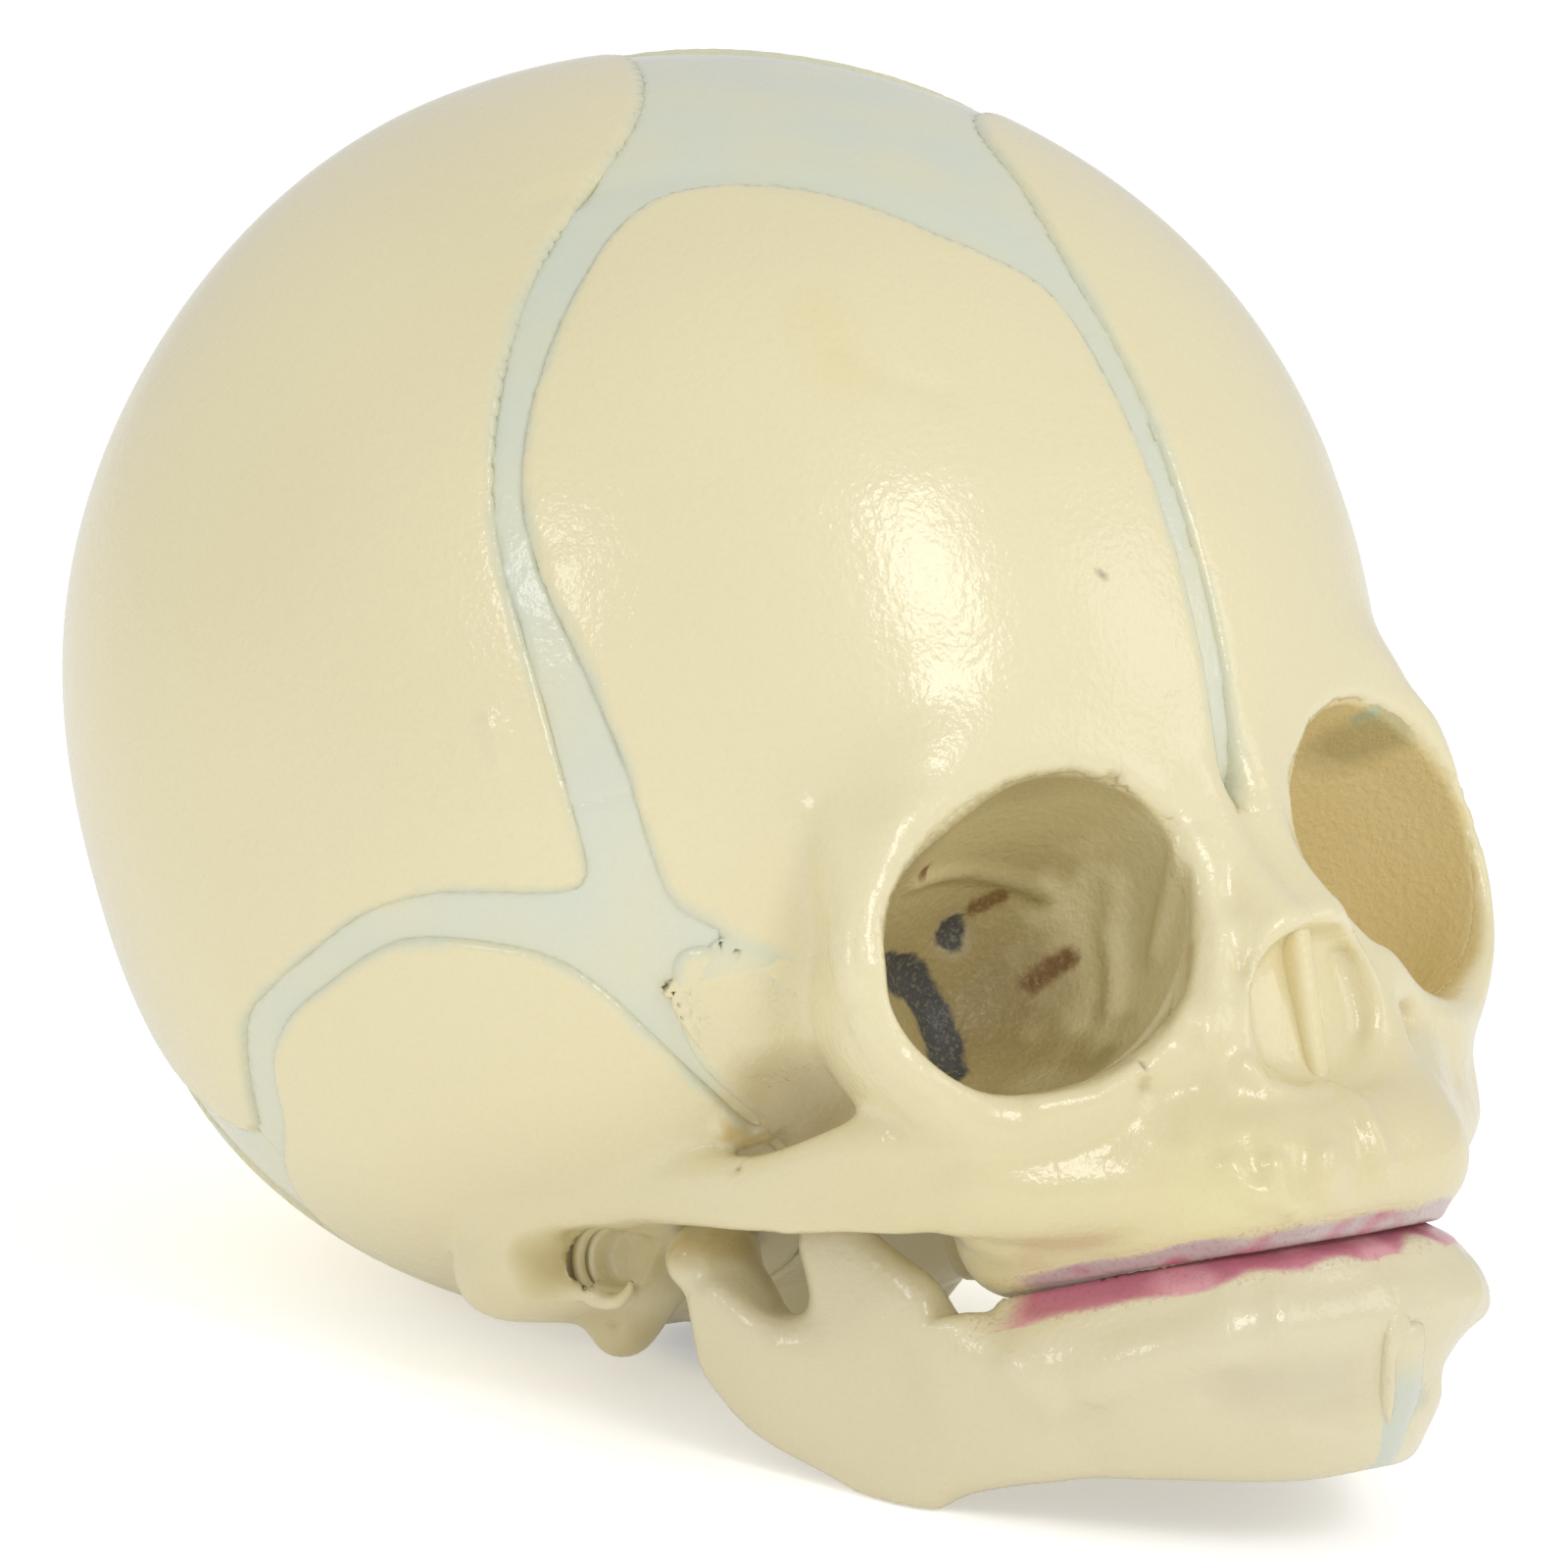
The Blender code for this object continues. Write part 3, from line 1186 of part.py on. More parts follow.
def upper_gum_form(name, extra):
    return gum(name, UPPER_ARCH_SHARES, BITE_CLEARANCE / 2, BITE_CLEARANCE / 2 + GUM_HEIGHT, extra)


def lower_gum_form(name, extra):
    return gum(name, LOWER_ARCH_SHARES, -BITE_CLEARANCE / 2, -BITE_CLEARANCE / 2 - GUM_HEIGHT, extra)


# Stance

def resting_pitch(front, back):
    """Tilt at which the lowest points of the front pieces and of the back pieces are level."""
    pitch = 0.0
    for _ in range(REST_TURNS):
        up = Vector((0, -math.sin(pitch), math.cos(pitch)))
        toe = lowest(front, up)
        heel = lowest(back, up)
        pitch = math.atan2(heel.z - toe.z, heel.y - toe.y)
    return pitch


def lowest(pieces, up):
    """Vertex of some pieces that lies lowest against an upward direction."""
    return min((vertex.co for piece in pieces for vertex in piece.data.vertices), key=up.dot).copy()


def table_slab(up, height):
    """Block below the table top, as seen from the level skull."""
    return slab("table", up * height, -up, FACE_HEIGHT)


def empty(name, location, parent=None):
    obj = bpy.data.objects.new(name, None)
    obj.location = location
    obj.parent = parent
    bpy.context.scene.collection.objects.link(obj)
    return obj


MATERIALS = {
    "bone_cream": (BONE_CREAM, BONE_ROUGHNESS),
    "membrane_blue": (MEMBRANE_BLUE, MEMBRANE_ROUGHNESS),
    "socket_tan": (SOCKET_TAN, SOCKET_ROUGHNESS),
    "gum_pink": (GUM_PINK, GUM_ROUGHNESS),
}
MEMBRANES = ("anterior_fontanelle", "posterior_fontanelle", "lateral_membrane", "mandibular_symphysis")


def finish_of(name):
    if name.startswith(MEMBRANES):
        return "membrane_blue"
    if name.startswith("orbit_lining"):
        return "socket_tan"
    if name.endswith("gum"):
        return "gum_pink"
    return "bone_cream"


def paint(obj):
    colour, roughness = MATERIALS[finish_of(obj.name)]
    material = bpy.data.materials.new(obj.name)
    material.use_nodes = True
    shader = material.node_tree.nodes["Principled BSDF"]
    shader.inputs["Base Color"].default_value = colour
    shader.inputs["Roughness"].default_value = roughness
    shader.inputs["Metallic"].default_value = 0.0
    obj.data.materials.clear()
    obj.data.materials.append(material)
    obj.data.shade_smooth()


def build():
    for obj in list(bpy.data.objects):
        bpy.data.objects.remove(obj)

    shell = vault_shell("shell", 0.0)
    sunk_shell = vault_shell("sunk_shell", MEMBRANE_RECESS)
    orbits = orbit_cutters()
    foramen = foramen_form()

    frontals = make_frontals(shell, orbits)
    parietals = make_pair("parietal_bone", shell, parietal_outline(RIGHT), [])
    brow_zone = wedge("brow_zone", frontal_outline(RIGHT), CLEARANCE)
    wings = make_pair("sphenoid_wing", shell, wing_outline(RIGHT), orbits + [brow_zone])
    drop(brow_zone)
    temporals = make_temporals(shell)
    occipital = bone_patch("occipital_bone", shell, both_sides(OCCIPITAL_EDGE), [foramen])

    outlines = [frontal_outline(RIGHT), frontal_outline(LEFT), both_sides(OCCIPITAL_EDGE)]
    for side in SIDES:
        outlines += [parietal_outline(side), temporal_outline(side), wing_outline(side)]
    zones = [wedge("zone", outline, CLEARANCE) for outline in outlines]
    base = make_base(shell, zones, orbits, foramen)
    base_zone = wedge("base_zone", both_sides(BASE_EDGE), CLEARANCE)
    zones.append(base_zone)
    front = make_membrane("anterior_fontanelle", sunk_shell, both_sides(FRONT_REGION_EDGE), zones + orbits)
    rear = make_membrane("posterior_fontanelle", sunk_shell, both_sides(REAR_REGION_EDGE), zones)
    side_region = outline_of(SIDE_REGION_EDGE)
    side_membrane = make_membrane("lateral_membrane_right", sunk_shell, side_region, zones + orbits)
    side_membranes = [side_membrane, mirrored(side_membrane, "lateral_membrane_left")]

    linings = make_linings()
    midface = make_midface(orbits)
    septum = make_septum()
    rings = [ring_form("tympanic_ring_" + SIDES[side], side, 0.0) for side in SIDES]
    upper_gum = upper_gum_form("upper_gum", 0.0)
    lower_gum = lower_gum_form("lower_gum", 0.0)
    jaw = make_jaw() + [lower_gum]

    cranium = (frontals + parietals + wings + temporals + [occipital, base, front, rear]
               + side_membranes + linings + midface + [septum] + rings + [upper_gum])
    rest = [occipital, base] + temporals
    pitch = resting_pitch(jaw, rest)
    up = Vector((0, -math.sin(pitch), math.cos(pitch)))
    floor = lowest(jaw, up).dot(up) + REST_FLAT
    table = table_slab(up, floor)
    for piece in jaw + rest:
        cut(piece, table)
        tidy(piece)
    drop(table, shell, sunk_shell, foramen, *orbits, *zones)

    forward = Vector((0, math.cos(pitch), math.sin(pitch)))
    reach = [vertex.co.dot(forward) for piece in cranium + jaw for vertex in piece.data.vertices]
    stand = empty("skull_stance", (0, -(min(reach) + max(reach)) / 2, -floor))
    stand.rotation_euler = (-pitch, 0, 0)
    hinge = empty("jaw_hinge", (0, 0, 0), stand)
    for piece in cranium:
        piece.parent = stand
    for piece in jaw:
        piece.parent = hinge
    for piece in cranium + jaw:
        paint(piece)
        bm = bmesh_of(piece)
        bmesh.ops.triangulate(bm, faces=bm.faces)
        print("triangles", piece.name, len(bm.faces), "bodies", len(islands(bm)))
        bm.free()


build()
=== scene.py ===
"""Looks of the newborn skull teaching model: smooth cream bones, pale fontanelles, painted sockets.

The bones are carved from one smooth skin, worked out in the level frame of the skull in
millimetres: the jaw axis on X through the origin, the face towards -Y, the crown towards +Z.
Each piece stands for the piece of the frame that has its name, and is tilted into its stance.
"""
import json
import math

import bpy
import numpy as np
from mathutils import Matrix, Vector


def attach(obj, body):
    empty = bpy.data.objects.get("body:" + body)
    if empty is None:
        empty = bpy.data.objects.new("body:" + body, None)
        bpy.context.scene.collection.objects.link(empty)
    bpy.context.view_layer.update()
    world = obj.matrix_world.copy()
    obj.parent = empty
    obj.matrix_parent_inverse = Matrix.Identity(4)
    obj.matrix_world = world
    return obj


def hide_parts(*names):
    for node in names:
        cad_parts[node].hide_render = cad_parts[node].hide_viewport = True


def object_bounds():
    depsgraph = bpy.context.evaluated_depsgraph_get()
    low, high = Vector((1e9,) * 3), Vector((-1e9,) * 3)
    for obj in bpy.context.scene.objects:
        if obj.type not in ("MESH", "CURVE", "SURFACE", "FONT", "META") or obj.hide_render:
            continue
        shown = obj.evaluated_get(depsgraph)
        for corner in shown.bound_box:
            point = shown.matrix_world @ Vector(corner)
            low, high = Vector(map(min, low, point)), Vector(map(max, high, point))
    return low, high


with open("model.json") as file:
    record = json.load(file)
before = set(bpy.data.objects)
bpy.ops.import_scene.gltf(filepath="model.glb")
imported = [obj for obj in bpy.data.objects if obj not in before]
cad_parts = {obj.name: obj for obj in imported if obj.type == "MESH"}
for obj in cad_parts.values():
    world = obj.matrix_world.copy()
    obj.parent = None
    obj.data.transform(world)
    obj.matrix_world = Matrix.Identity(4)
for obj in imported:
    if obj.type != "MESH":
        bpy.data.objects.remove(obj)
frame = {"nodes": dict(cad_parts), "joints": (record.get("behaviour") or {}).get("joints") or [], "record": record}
CAD_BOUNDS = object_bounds()

MM = 0.001
LEFT = 1
RIGHT = -1
SIDES = {RIGHT: "right", LEFT: "left"}

# Stance: tilt about the jaw axis, and where the frame puts that axis
STANCE_PITCH = math.radians(24.7583)
HINGE = np.array(frame["joints"][0]["pos_m"]) / MM

# Brain case, measured from its own centre
VAULT_CENTRE = np.array([0.0, 14.8, 35.9])
VAULT_HALF_BREADTH = 46.8
VAULT_FRONT = 55.4
VAULT_BACK = 43.0
VAULT_TOP = 57.3
VAULT_BOTTOM = 39.9
VAULT_ROUNDNESS = 2.08
VAULT_TAPER_SHARE = -0.06
BONE_WALL = 2.6
MEMBRANE_RECESS = 0.5
MEMBRANE_TUCK = 0.5
MEMBRANE_OVERLAP = 1.2
REGION_RADIUS = 52.0

# Swellings of the vault: height, direction of the peak, spread as a share of the radius
VAULT_BUMPS = [
    (1.5, (0.45, -0.75, 0.45), 0.45),
    (3.0, (0.75, 0.45, 0.45), 0.5),
    (-0.8, (0.85, -0.5, -0.1), 0.4),
    (6.5, (0.0, 0.97, -0.05), 0.5),
]

# Face, measured from the jaw axis
FACE_SIZE = np.array([34.0, -46.5, 50.0])
FACE_LENGTH = abs(FACE_SIZE[1])

# Eye sockets
ORBIT_HALF_WIDTH = 13.4
ORBIT_HALF_HEIGHT = 11.6
ORBIT_DEPTH = 19.0
ORBIT_WALL = 1.8
ORBIT_LIP = 2.4
ORBIT_CENTRE_SHARE = (0.597, 0.791, 0.343)
ORBIT_SIDE_DIRECTION = (0.974, 0.227, 0.0)
ORBIT_UP_DIRECTION = (-0.10, -0.12, 0.98)
ORBIT_AXIS_DIRECTION = (-0.31, 0.94, -0.13)
ORBIT_SQUARENESS = 2.1
ORBIT_FLARE = 0.27
ORBIT_RING_POWER = 5.0 / 3.0
ORBIT_DEPTH_POWER = 2.6
ORBIT_SEAT_LAP = 1.0
ORBIT_WALL_SPARE = 0.9
ORBIT_WALL_FRONT = 2.0

# Bulges of the socket's outline: share of its size, heading and spread in degrees
ORBIT_BULGES = [(-0.12, 55.0, 30.0), (0.06, 165.0, 35.0)]

# Stretches over which the face of the left side is raised
LEFT_SOCKET_RISE = 2.4
RAISED_FROM_FOOT = (-1.0, 5.0)
RAISED_TO_TOP = (48.0, 34.0)
RAISED_AHEAD = (-18.0, -30.0)
RAISED_ASIDE = (2.0, 11.0)

# Nose, ear and jaw joint
NASAL_HALF_WIDTH = 7.5
NASAL_MEAN_WIDTH_SHARE = 0.86
NASAL_TAPER_SHARE = 0.14
NASAL_SQUARENESS = 2.4
NASAL_FRONT = -45.2
NASAL_DEPTH = 3.4
NASAL_FLOOR = 2.7
NASAL_TOP = 13.7
NASAL_FLOOR_BLEND = 2.0
NASAL_RIM = 1.0
NASAL_RIM_FRONT = -42.4
NASAL_RIM_LEAN = 0.10
NASAL_RIM_BACK = -36.0
NASAL_RIM_REACH = 6.0
NASAL_RIM_BLEND = 1.4
SEPTUM_THICKNESS = 2.0
SEPTUM_FRONT = -42.3
SEPTUM_LEAN = 1.2
SEPTUM_FOOT_LAP = 1.0
SEPTUM_TOP_LAP = 0.6
SEPTUM_BACK_LAP = 2.0
SEPTUM_BLEND = 0.8
EAR_CENTRE_SHARE = (0.86, -0.15, 0.026)
EAR_CANAL_RADIUS = 2.1
EAR_CANAL_LENGTH = 4.0
EAR_RING_RADIUS = 2.9
EAR_RING_THICKNESS = 1.2
EAR_RING_SINK = 1.4
EAR_RING_CLEARANCE = 0.15
CONDYLE_RADIUS = 2.9
CONDYLE_LENGTH = 8.4
CONDYLE_SIDE = 23.6
SOCKET_CLEARANCE = 0.4
SOCKET_WALL = 1.6
JAW_ROOM_SIDE = 27.9
JAW_ROOM_FRONT = 1.2 * CONDYLE_RADIUS
CONDYLE_BLEND = 1.2

# Gums and chin
GUM_HEIGHT = 1.9
GUM_HALF_WIDTH = 0.7
GUM_REACH = 3.0
GUM_BLEND = 1.5
BITE_CLEARANCE = 0.04
BITE_RISE = -9.5
BITE_CROWN = 0.6
BITE_CROWN_WIDTH = 2.2
RAMUS_FRONT_SHARE = 0.42
BITE_SLOPE = 0.04
SYMPHYSIS_HALF_WIDTH = 1.2
SYMPHYSIS_TOP = -17.5

# Base
FORAMEN_HALF_WIDTH = 8.0
FORAMEN_HALF_LENGTH = 9.2
FORAMEN_BACK = 17.6

# Camera
CAMERA_TURN = math.radians(-45.905)
CAMERA_RISE = math.radians(-4.675)
CAMERA_ROLL = math.radians(-12.284)
CAMERA_DISTANCE = 974.596
CAMERA_FOCUS_PIXELS = 13110.956
CAMERA_SHIFT_RIGHT = -4.718
CAMERA_SHIFT_UP = 3.773
CAMERA_AIM = (0.0, 0.0, 30.0)
FRAME_PIXELS = 1600
SENSOR = 36.0
FAR_CLIP = 100.0

# Search for the skin under a pixel
SIGHT_MARGIN = 90.0
SIGHT_STEPS = 70
SIGHT_STRIDE = 8.0
SIGHT_CAUTION = 0.8

# How softly forms run into each other, and the overlap of pieces along a seam
VAULT_BLEND = 3.0
EDGE_BLEND = 0.9
RIM_BLEND = 1.3
LINING_BLEND = 0.3
SEAM_OVERLAP = 0.6
SEAM_SINK = 0.15
SEAM_SINK_REACH = 6.0
MIDLINE_OVERLAP = 0.15
BROW_GRIP = 0.8
FACE_GRIP = 0.3
TEMPORAL_GRIP = 0.15
TEMPORAL_WALL_SHARE = 0.8
TEMPORAL_MIDDLE = 2.0
WING_RISE = 1.4
WING_OVERLAP = 0.2
BASE_GAP = 0.05
FORAMEN_TOP_SHARE = 0.5

# Fineness of the meshes and of the grids that hold the forms
VAULT_STEP = 0.7
FACE_STEP = 0.45
FINE_STEP = FACE_STEP * 0.7
BLOCK = 6
CHUNK = 150000
BLOCK_REACH = 1.7
MARK_REACH = 8.0
REGION_STEP = 0.4
REGION_MARGIN = 8.0
CAST_STEP = 0.4
CAST_FADE = 4.0
CAST_SOFTNESS = 0.8
FOREHEAD_SOFTNESS = 2.0
FOREHEAD_FOOT = 26.5
FOREHEAD_TOP = 29.5
SOFTENING_REACH = 2.5
ROUNDING_WEIGHT = 9.0
LAST_CELL = 1.001
SWEEP_STEPS = 3
HULL_REACH = 4.0
FAR = 12.0
FAR_AWAY = 1e9
GRADIENT_STEP = 0.04
PULLS = 2
PULL_SHARE = 0.4
LEAST_SLOPE = 0.25
WAVE_COUNT = 9
WAVE_SPREAD = 3.2
BOX_MARGIN = 3.2

# Outlines on the vault, as seen from its centre, in degrees: turn from the face towards the right
# ear, and rise above the horizon
CORONAL_FRONT_EDGE = [(46.5, 39.5), (51, 33.5), (54, 27), (55, 21), (54, 14), (52, 6), (50.6, -2),
                      (49.7, -12)]
FONTANELLE_FRONT_EDGE_RIGHT = [(2.6, 30.5), (7.5, 34.7), (13, 39.5), (20, 44), (28, 46.5), (35, 46.8),
                               (41, 44.5)]
FONTANELLE_FRONT_EDGE_LEFT = [(1.8, 31), (3.6, 37), (6, 42), (9, 47), (15, 51), (24, 52.5), (33, 51),
                              (41, 46)]
METOPIC_EDGE = [(0.17, -15), (0.17, -11.5), (0.8, -9.5), (1.0, 10), (1.4, 24)]
FRONTAL_LOWER_EDGE = [(46, -15.2), (41.5, -18.8), (38.5, -21.4), (33, -25), (22, -27), (9, -25), (3, -19)]
SAGITTAL_EDGE = [(30, 87.6), (150, 87.6), (172, 80), (176, 70), (177.4, 58), (178, 48), (176, 40)]
LAMBDOID_FRONT_EDGE = [(169, 31), (161, 21), (151, 9), (141, -4), (131, -15), (121, -22.5), (114, -25)]
MASTOID_FRONT_EDGE = [(109, -22.5), (104, -18), (99.5, -14)]
SQUAMOSAL_UPPER_EDGE = [(94, -12), (87, -10), (79, -7.8), (71, -7.6), (64, -9), (56.5, -9.8)]
CORONAL_REAR_EDGE = [(55.9, -3), (56.6, 9), (57.6, 20), (56.6, 28), (54, 35.5), (50, 42.6), (44.6, 48)]
FONTANELLE_REAR_EDGE = [(38, 53.5), (31, 60), (25, 67.5), (17, 75), (14, 81)]
TEMPORAL_FRONT_EDGE = [(42.5, -52), (44, -42), (48.6, -34), (52.6, -27.5), (56, -21.5)]
TEMPORAL_UPPER_EDGE = [(60, -16.4), (66, -13.2), (76, -10.7), (86, -12.8), (94, -15.2), (100, -19),
                       (105, -24.5)]
TEMPORAL_REAR_EDGE = [(112, -28), (122, -33), (130, -40), (132.5, -48), (127, -58)]
TEMPORAL_LOWER_EDGE = [(108, -65), (84, -70), (58, -68), (45, -61)]
WING_UPPER_EDGE = [(50, -17.6), (46, -18), (42.2, -20.4), (39, -23), (33.5, -26.6)]
WING_FRONT_EDGE = [(28, -30), (25, -36), (24.5, -44), (26, -52)]
WING_REAR_EDGE = [(31, -57), (38, -53), (41.6, -46), (45, -37.5), (49.4, -30), (51, -24)]
OCCIPITAL_EDGE = [(180, 26), (170, 20), (160, 9), (150, -4), (142, -16), (136.5, -27), (136, -38),
                  (137.5, -50), (135, -60), (146, -68), (180, -72)]
BASE_EDGE = [(2, -17.5), (8, -19), (18, -27), (27, -40), (29, -50), (34, -56), (44, -58), (58, -63),
             (84, -65), (110, -61), (128, -59), (144, -69), (170, -71)]
FRONT_REGION_EDGE = [(1.6, -9.9), (2.6, -6.5), (24, -6.5), (46, -3), (66, -3), (78, 30), (84, 65),
                     (120, 82), (168, 82.6)]
REAR_REGION_EDGE = [(168, 82.1), (150, 78), (125, 45), (108, 5), (108, -14), (113.5, -17), (113.5, -34),
                    (122, -48), (126, -62), (134, -66), (170, -66)]
SIDE_REGION_EDGE = [(46, -3.4), (66, -3.4), (90, -4), (104, -8), (113, -16), (113, -34), (98, -34),
                    (76, -26), (62, -34), (52, -50), (38, -44), (34, -24), (36, -13)]

# Forms of the face as chains of sections. A section has one or two balls, each with its place and its
# radii as shares of the half breadth, length and height of the face.
MIDFACE_CHAIN_SHARES = [
    # Body of the upper jaw
    [
        [((0.32, 0.80, -0.04), (0.18, 0.12, 0.12))],
        [((0.41, 0.71, 0.00), (0.21, 0.13, 0.12))],
        [((0.53, 0.58, -0.02), (0.16, 0.13, 0.11))],
    ],
    # Front of the upper jaw below the nose
    [
        [((0.0, 0.895, -0.02), (0.13, 0.073, 0.06))],
        [((0.15, 0.886, -0.02), (0.13, 0.073, 0.068))],
        [((0.253, 0.856, 0.048), (0.076, 0.065, 0.064))],
    ],
    # Side of the nose up to the brow
    [
        [((0.253, 0.856, 0.048), (0.076, 0.065, 0.064))],
        [((0.241, 0.86, 0.168), (0.065, 0.054, 0.052))],
        [((0.185, 0.837, 0.27), (0.059, 0.052, 0.052))],
        [((0.147, 0.815, 0.37), (0.059, 0.05, 0.052))],
        [((0.159, 0.802, 0.472), (0.071, 0.056, 0.056))],
    ],
    # Bridge of the nose
    [
        [((0.056, 0.927, 0.28), (0.068, 0.047, 0.036))],
        [((0.065, 0.856, 0.376), (0.068, 0.047, 0.048))],
        [((0.076, 0.817, 0.476), (0.082, 0.058, 0.056))],
    ],
    # Roof of the nasal opening
    [
        [((0.056, 0.927, 0.28), (0.068, 0.047, 0.036))],
        [((0.159, 0.86, 0.276), (0.053, 0.047, 0.044))],
    ],
    # Floor of the nasal opening
    [
        [((0.0, 0.835, 0.05), (0.23, 0.062, 0.07))],
        [((0.0, 0.835, 0.16), (0.23, 0.062, 0.07))],
        [((0.0, 0.83, 0.25), (0.18, 0.06, 0.06))],
    ],
    # Lower rim of the eye socket
    [
        [((0.241, 0.86, 0.168), (0.065, 0.054, 0.052))],
        [((0.306, 0.852, 0.152), (0.071, 0.056, 0.052))],
        [((0.441, 0.80, 0.10), (0.076, 0.06, 0.052))],
        [((0.618, 0.744, 0.07), (0.088, 0.065, 0.056))],
        [((0.776, 0.68, 0.092), (0.088, 0.065, 0.06))],
        [((0.90, 0.667, 0.18), (0.076, 0.06, 0.06))],
        [((0.959, 0.658, 0.28), (0.068, 0.058, 0.052))],
        [((0.953, 0.658, 0.37), (0.065, 0.056, 0.048))],
    ],
    # Cheek and arch
    [
        [((0.73, 0.632, 0.016), (0.13, 0.09, 0.076))],
        [((0.853, 0.551, 0.08), (0.065, 0.073, 0.052)), ((0.829, 0.551, -0.004), (0.071, 0.073, 0.048))],
        [((0.888, 0.462, 0.084), (0.05, 0.065, 0.048)), ((0.879, 0.462, 0.012), (0.05, 0.065, 0.044))],
        [((0.891, 0.333, 0.078), (0.047, 0.065, 0.042)), ((0.885, 0.333, 0.024), (0.047, 0.065, 0.038))],
    ],
    # Palate
    [
        [((0.0, 0.74, -0.05), (0.36, 0.17, 0.03))],
        [((0.0, 0.54, -0.04), (0.36, 0.11, 0.03))],
    ],
    # Cheek into the upper jaw
    [
        [((0.75, 0.62, 0.0), (0.12, 0.09, 0.075))],
        [((0.60, 0.68, -0.02), (0.15, 0.10, 0.085))],
        [((0.42, 0.76, -0.045), (0.15, 0.10, 0.09))],
    ],
    # Rear end of the upper jaw
    [
        [((0.46, 0.473, 0.0), (0.12, 0.086, 0.10))],
        [((0.38, 0.58, 0.05), (0.15, 0.12, 0.09))],
    ],
]
BROW_CHAIN_SHARES = [
    # Rim of the eye socket from the nose to the cheek, running up into the forehead
    [
        [((0.076, 0.809, 0.48), (0.082, 0.065, 0.06)), ((0.10, 0.757, 0.66), (0.10, 0.108, 0.10))],
        [((0.188, 0.79, 0.492), (0.076, 0.056, 0.052)), ((0.206, 0.748, 0.68), (0.147, 0.108, 0.10))],
        [((0.312, 0.787, 0.548), (0.076, 0.056, 0.056)), ((0.309, 0.735, 0.72), (0.147, 0.108, 0.10))],
        [((0.54, 0.762, 0.596), (0.082, 0.056, 0.052)), ((0.485, 0.695, 0.77), (0.147, 0.108, 0.10))],
        [((0.753, 0.718, 0.572), (0.076, 0.056, 0.056)), ((0.66, 0.615, 0.74), (0.147, 0.108, 0.10))],
        [((0.888, 0.68, 0.48), (0.068, 0.056, 0.056)), ((0.806, 0.55, 0.61), (0.10, 0.073, 0.08))],
        [((0.947, 0.658, 0.372), (0.062, 0.054, 0.044)), ((0.865, 0.59, 0.388), (0.056, 0.073, 0.048))],
    ],
]
UPPER_ARCH_SHARES = [(0.0, 0.915), (0.165, 0.912), (0.305, 0.87), (0.405, 0.765), (0.47, 0.63),
                     (0.49, 0.50)]
LOWER_ARCH_SHARES = [(0.0, 0.882), (0.165, 0.882), (0.30, 0.845), (0.41, 0.755), (0.49, 0.62),
                     (0.54, 0.50)]
ALVEOLUS_RISE_SHARE = -0.066
ALVEOLUS_RADIUS_SHARES = (0.11, 0.088, 0.10)
GUM_RISE_SHARE = -0.222
GUM_RADIUS_SHARES = (0.08, 0.058, 0.034)

JAW_CHAIN_SHARES = [
    # Body of the jaw: its gum side, and its lower border further in
    [
        [((0.0, 0.882, -0.292), (0.094, 0.067, 0.074)), ((0.0, 0.845, -0.474), (0.076, 0.045, 0.05))],
        [((0.165, 0.886, -0.294), (0.10, 0.067, 0.074)), ((0.147, 0.796, -0.476), (0.066, 0.04, 0.046))],
        [((0.30, 0.852, -0.296), (0.097, 0.071, 0.074)), ((0.255, 0.712, -0.46), (0.056, 0.045, 0.04))],
        [((0.406, 0.77, -0.292), (0.094, 0.073, 0.072)), ((0.355, 0.63, -0.438), (0.052, 0.05, 0.036))],
        [((0.494, 0.64, -0.282), (0.088, 0.075, 0.072)), ((0.453, 0.542, -0.416), (0.052, 0.05, 0.036))],
        [((0.559, 0.512, -0.264), (0.079, 0.073, 0.074)), ((0.53, 0.44, -0.400), (0.05, 0.05, 0.038))],
        [((0.612, 0.40, -0.228), (0.071, 0.071, 0.08)), ((0.582, 0.343, -0.396), (0.05, 0.05, 0.038))],
    ],
    # Branch of the jaw up to the neck of its condyle
    [
        [((0.612, 0.40, -0.228), (0.071, 0.071, 0.08)), ((0.582, 0.343, -0.396), (0.05, 0.05, 0.038))],
        [((0.653, 0.344, -0.116), (0.047, 0.065, 0.056)), ((0.615, 0.262, -0.414), (0.05, 0.04, 0.032))],
        [((0.671, 0.225, -0.168), (0.05, 0.062, 0.056)), ((0.668, 0.155, -0.318), (0.052, 0.05, 0.046))],
        [((0.706, 0.096, -0.15), (0.085, 0.06, 0.05)), ((0.700, 0.05, -0.236), (0.06, 0.05, 0.05))],
        [((0.700, 0.024, -0.055), (0.118, 0.058, 0.05)), ((0.706, 0.0, -0.15), (0.085, 0.05, 0.05))],
    ],
    # Coronoid process
    [
        [((0.612, 0.43, -0.20), (0.056, 0.065, 0.06)), ((0.671, 0.225, -0.168), (0.05, 0.062, 0.056))],
        [((0.650, 0.33, -0.09), (0.047, 0.056, 0.05)), ((0.676, 0.232, -0.09), (0.044, 0.05, 0.05))],
        [((0.668, 0.275, -0.018), (0.042, 0.05, 0.044)), ((0.68, 0.225, -0.018), (0.042, 0.045, 0.044))],
    ],
]

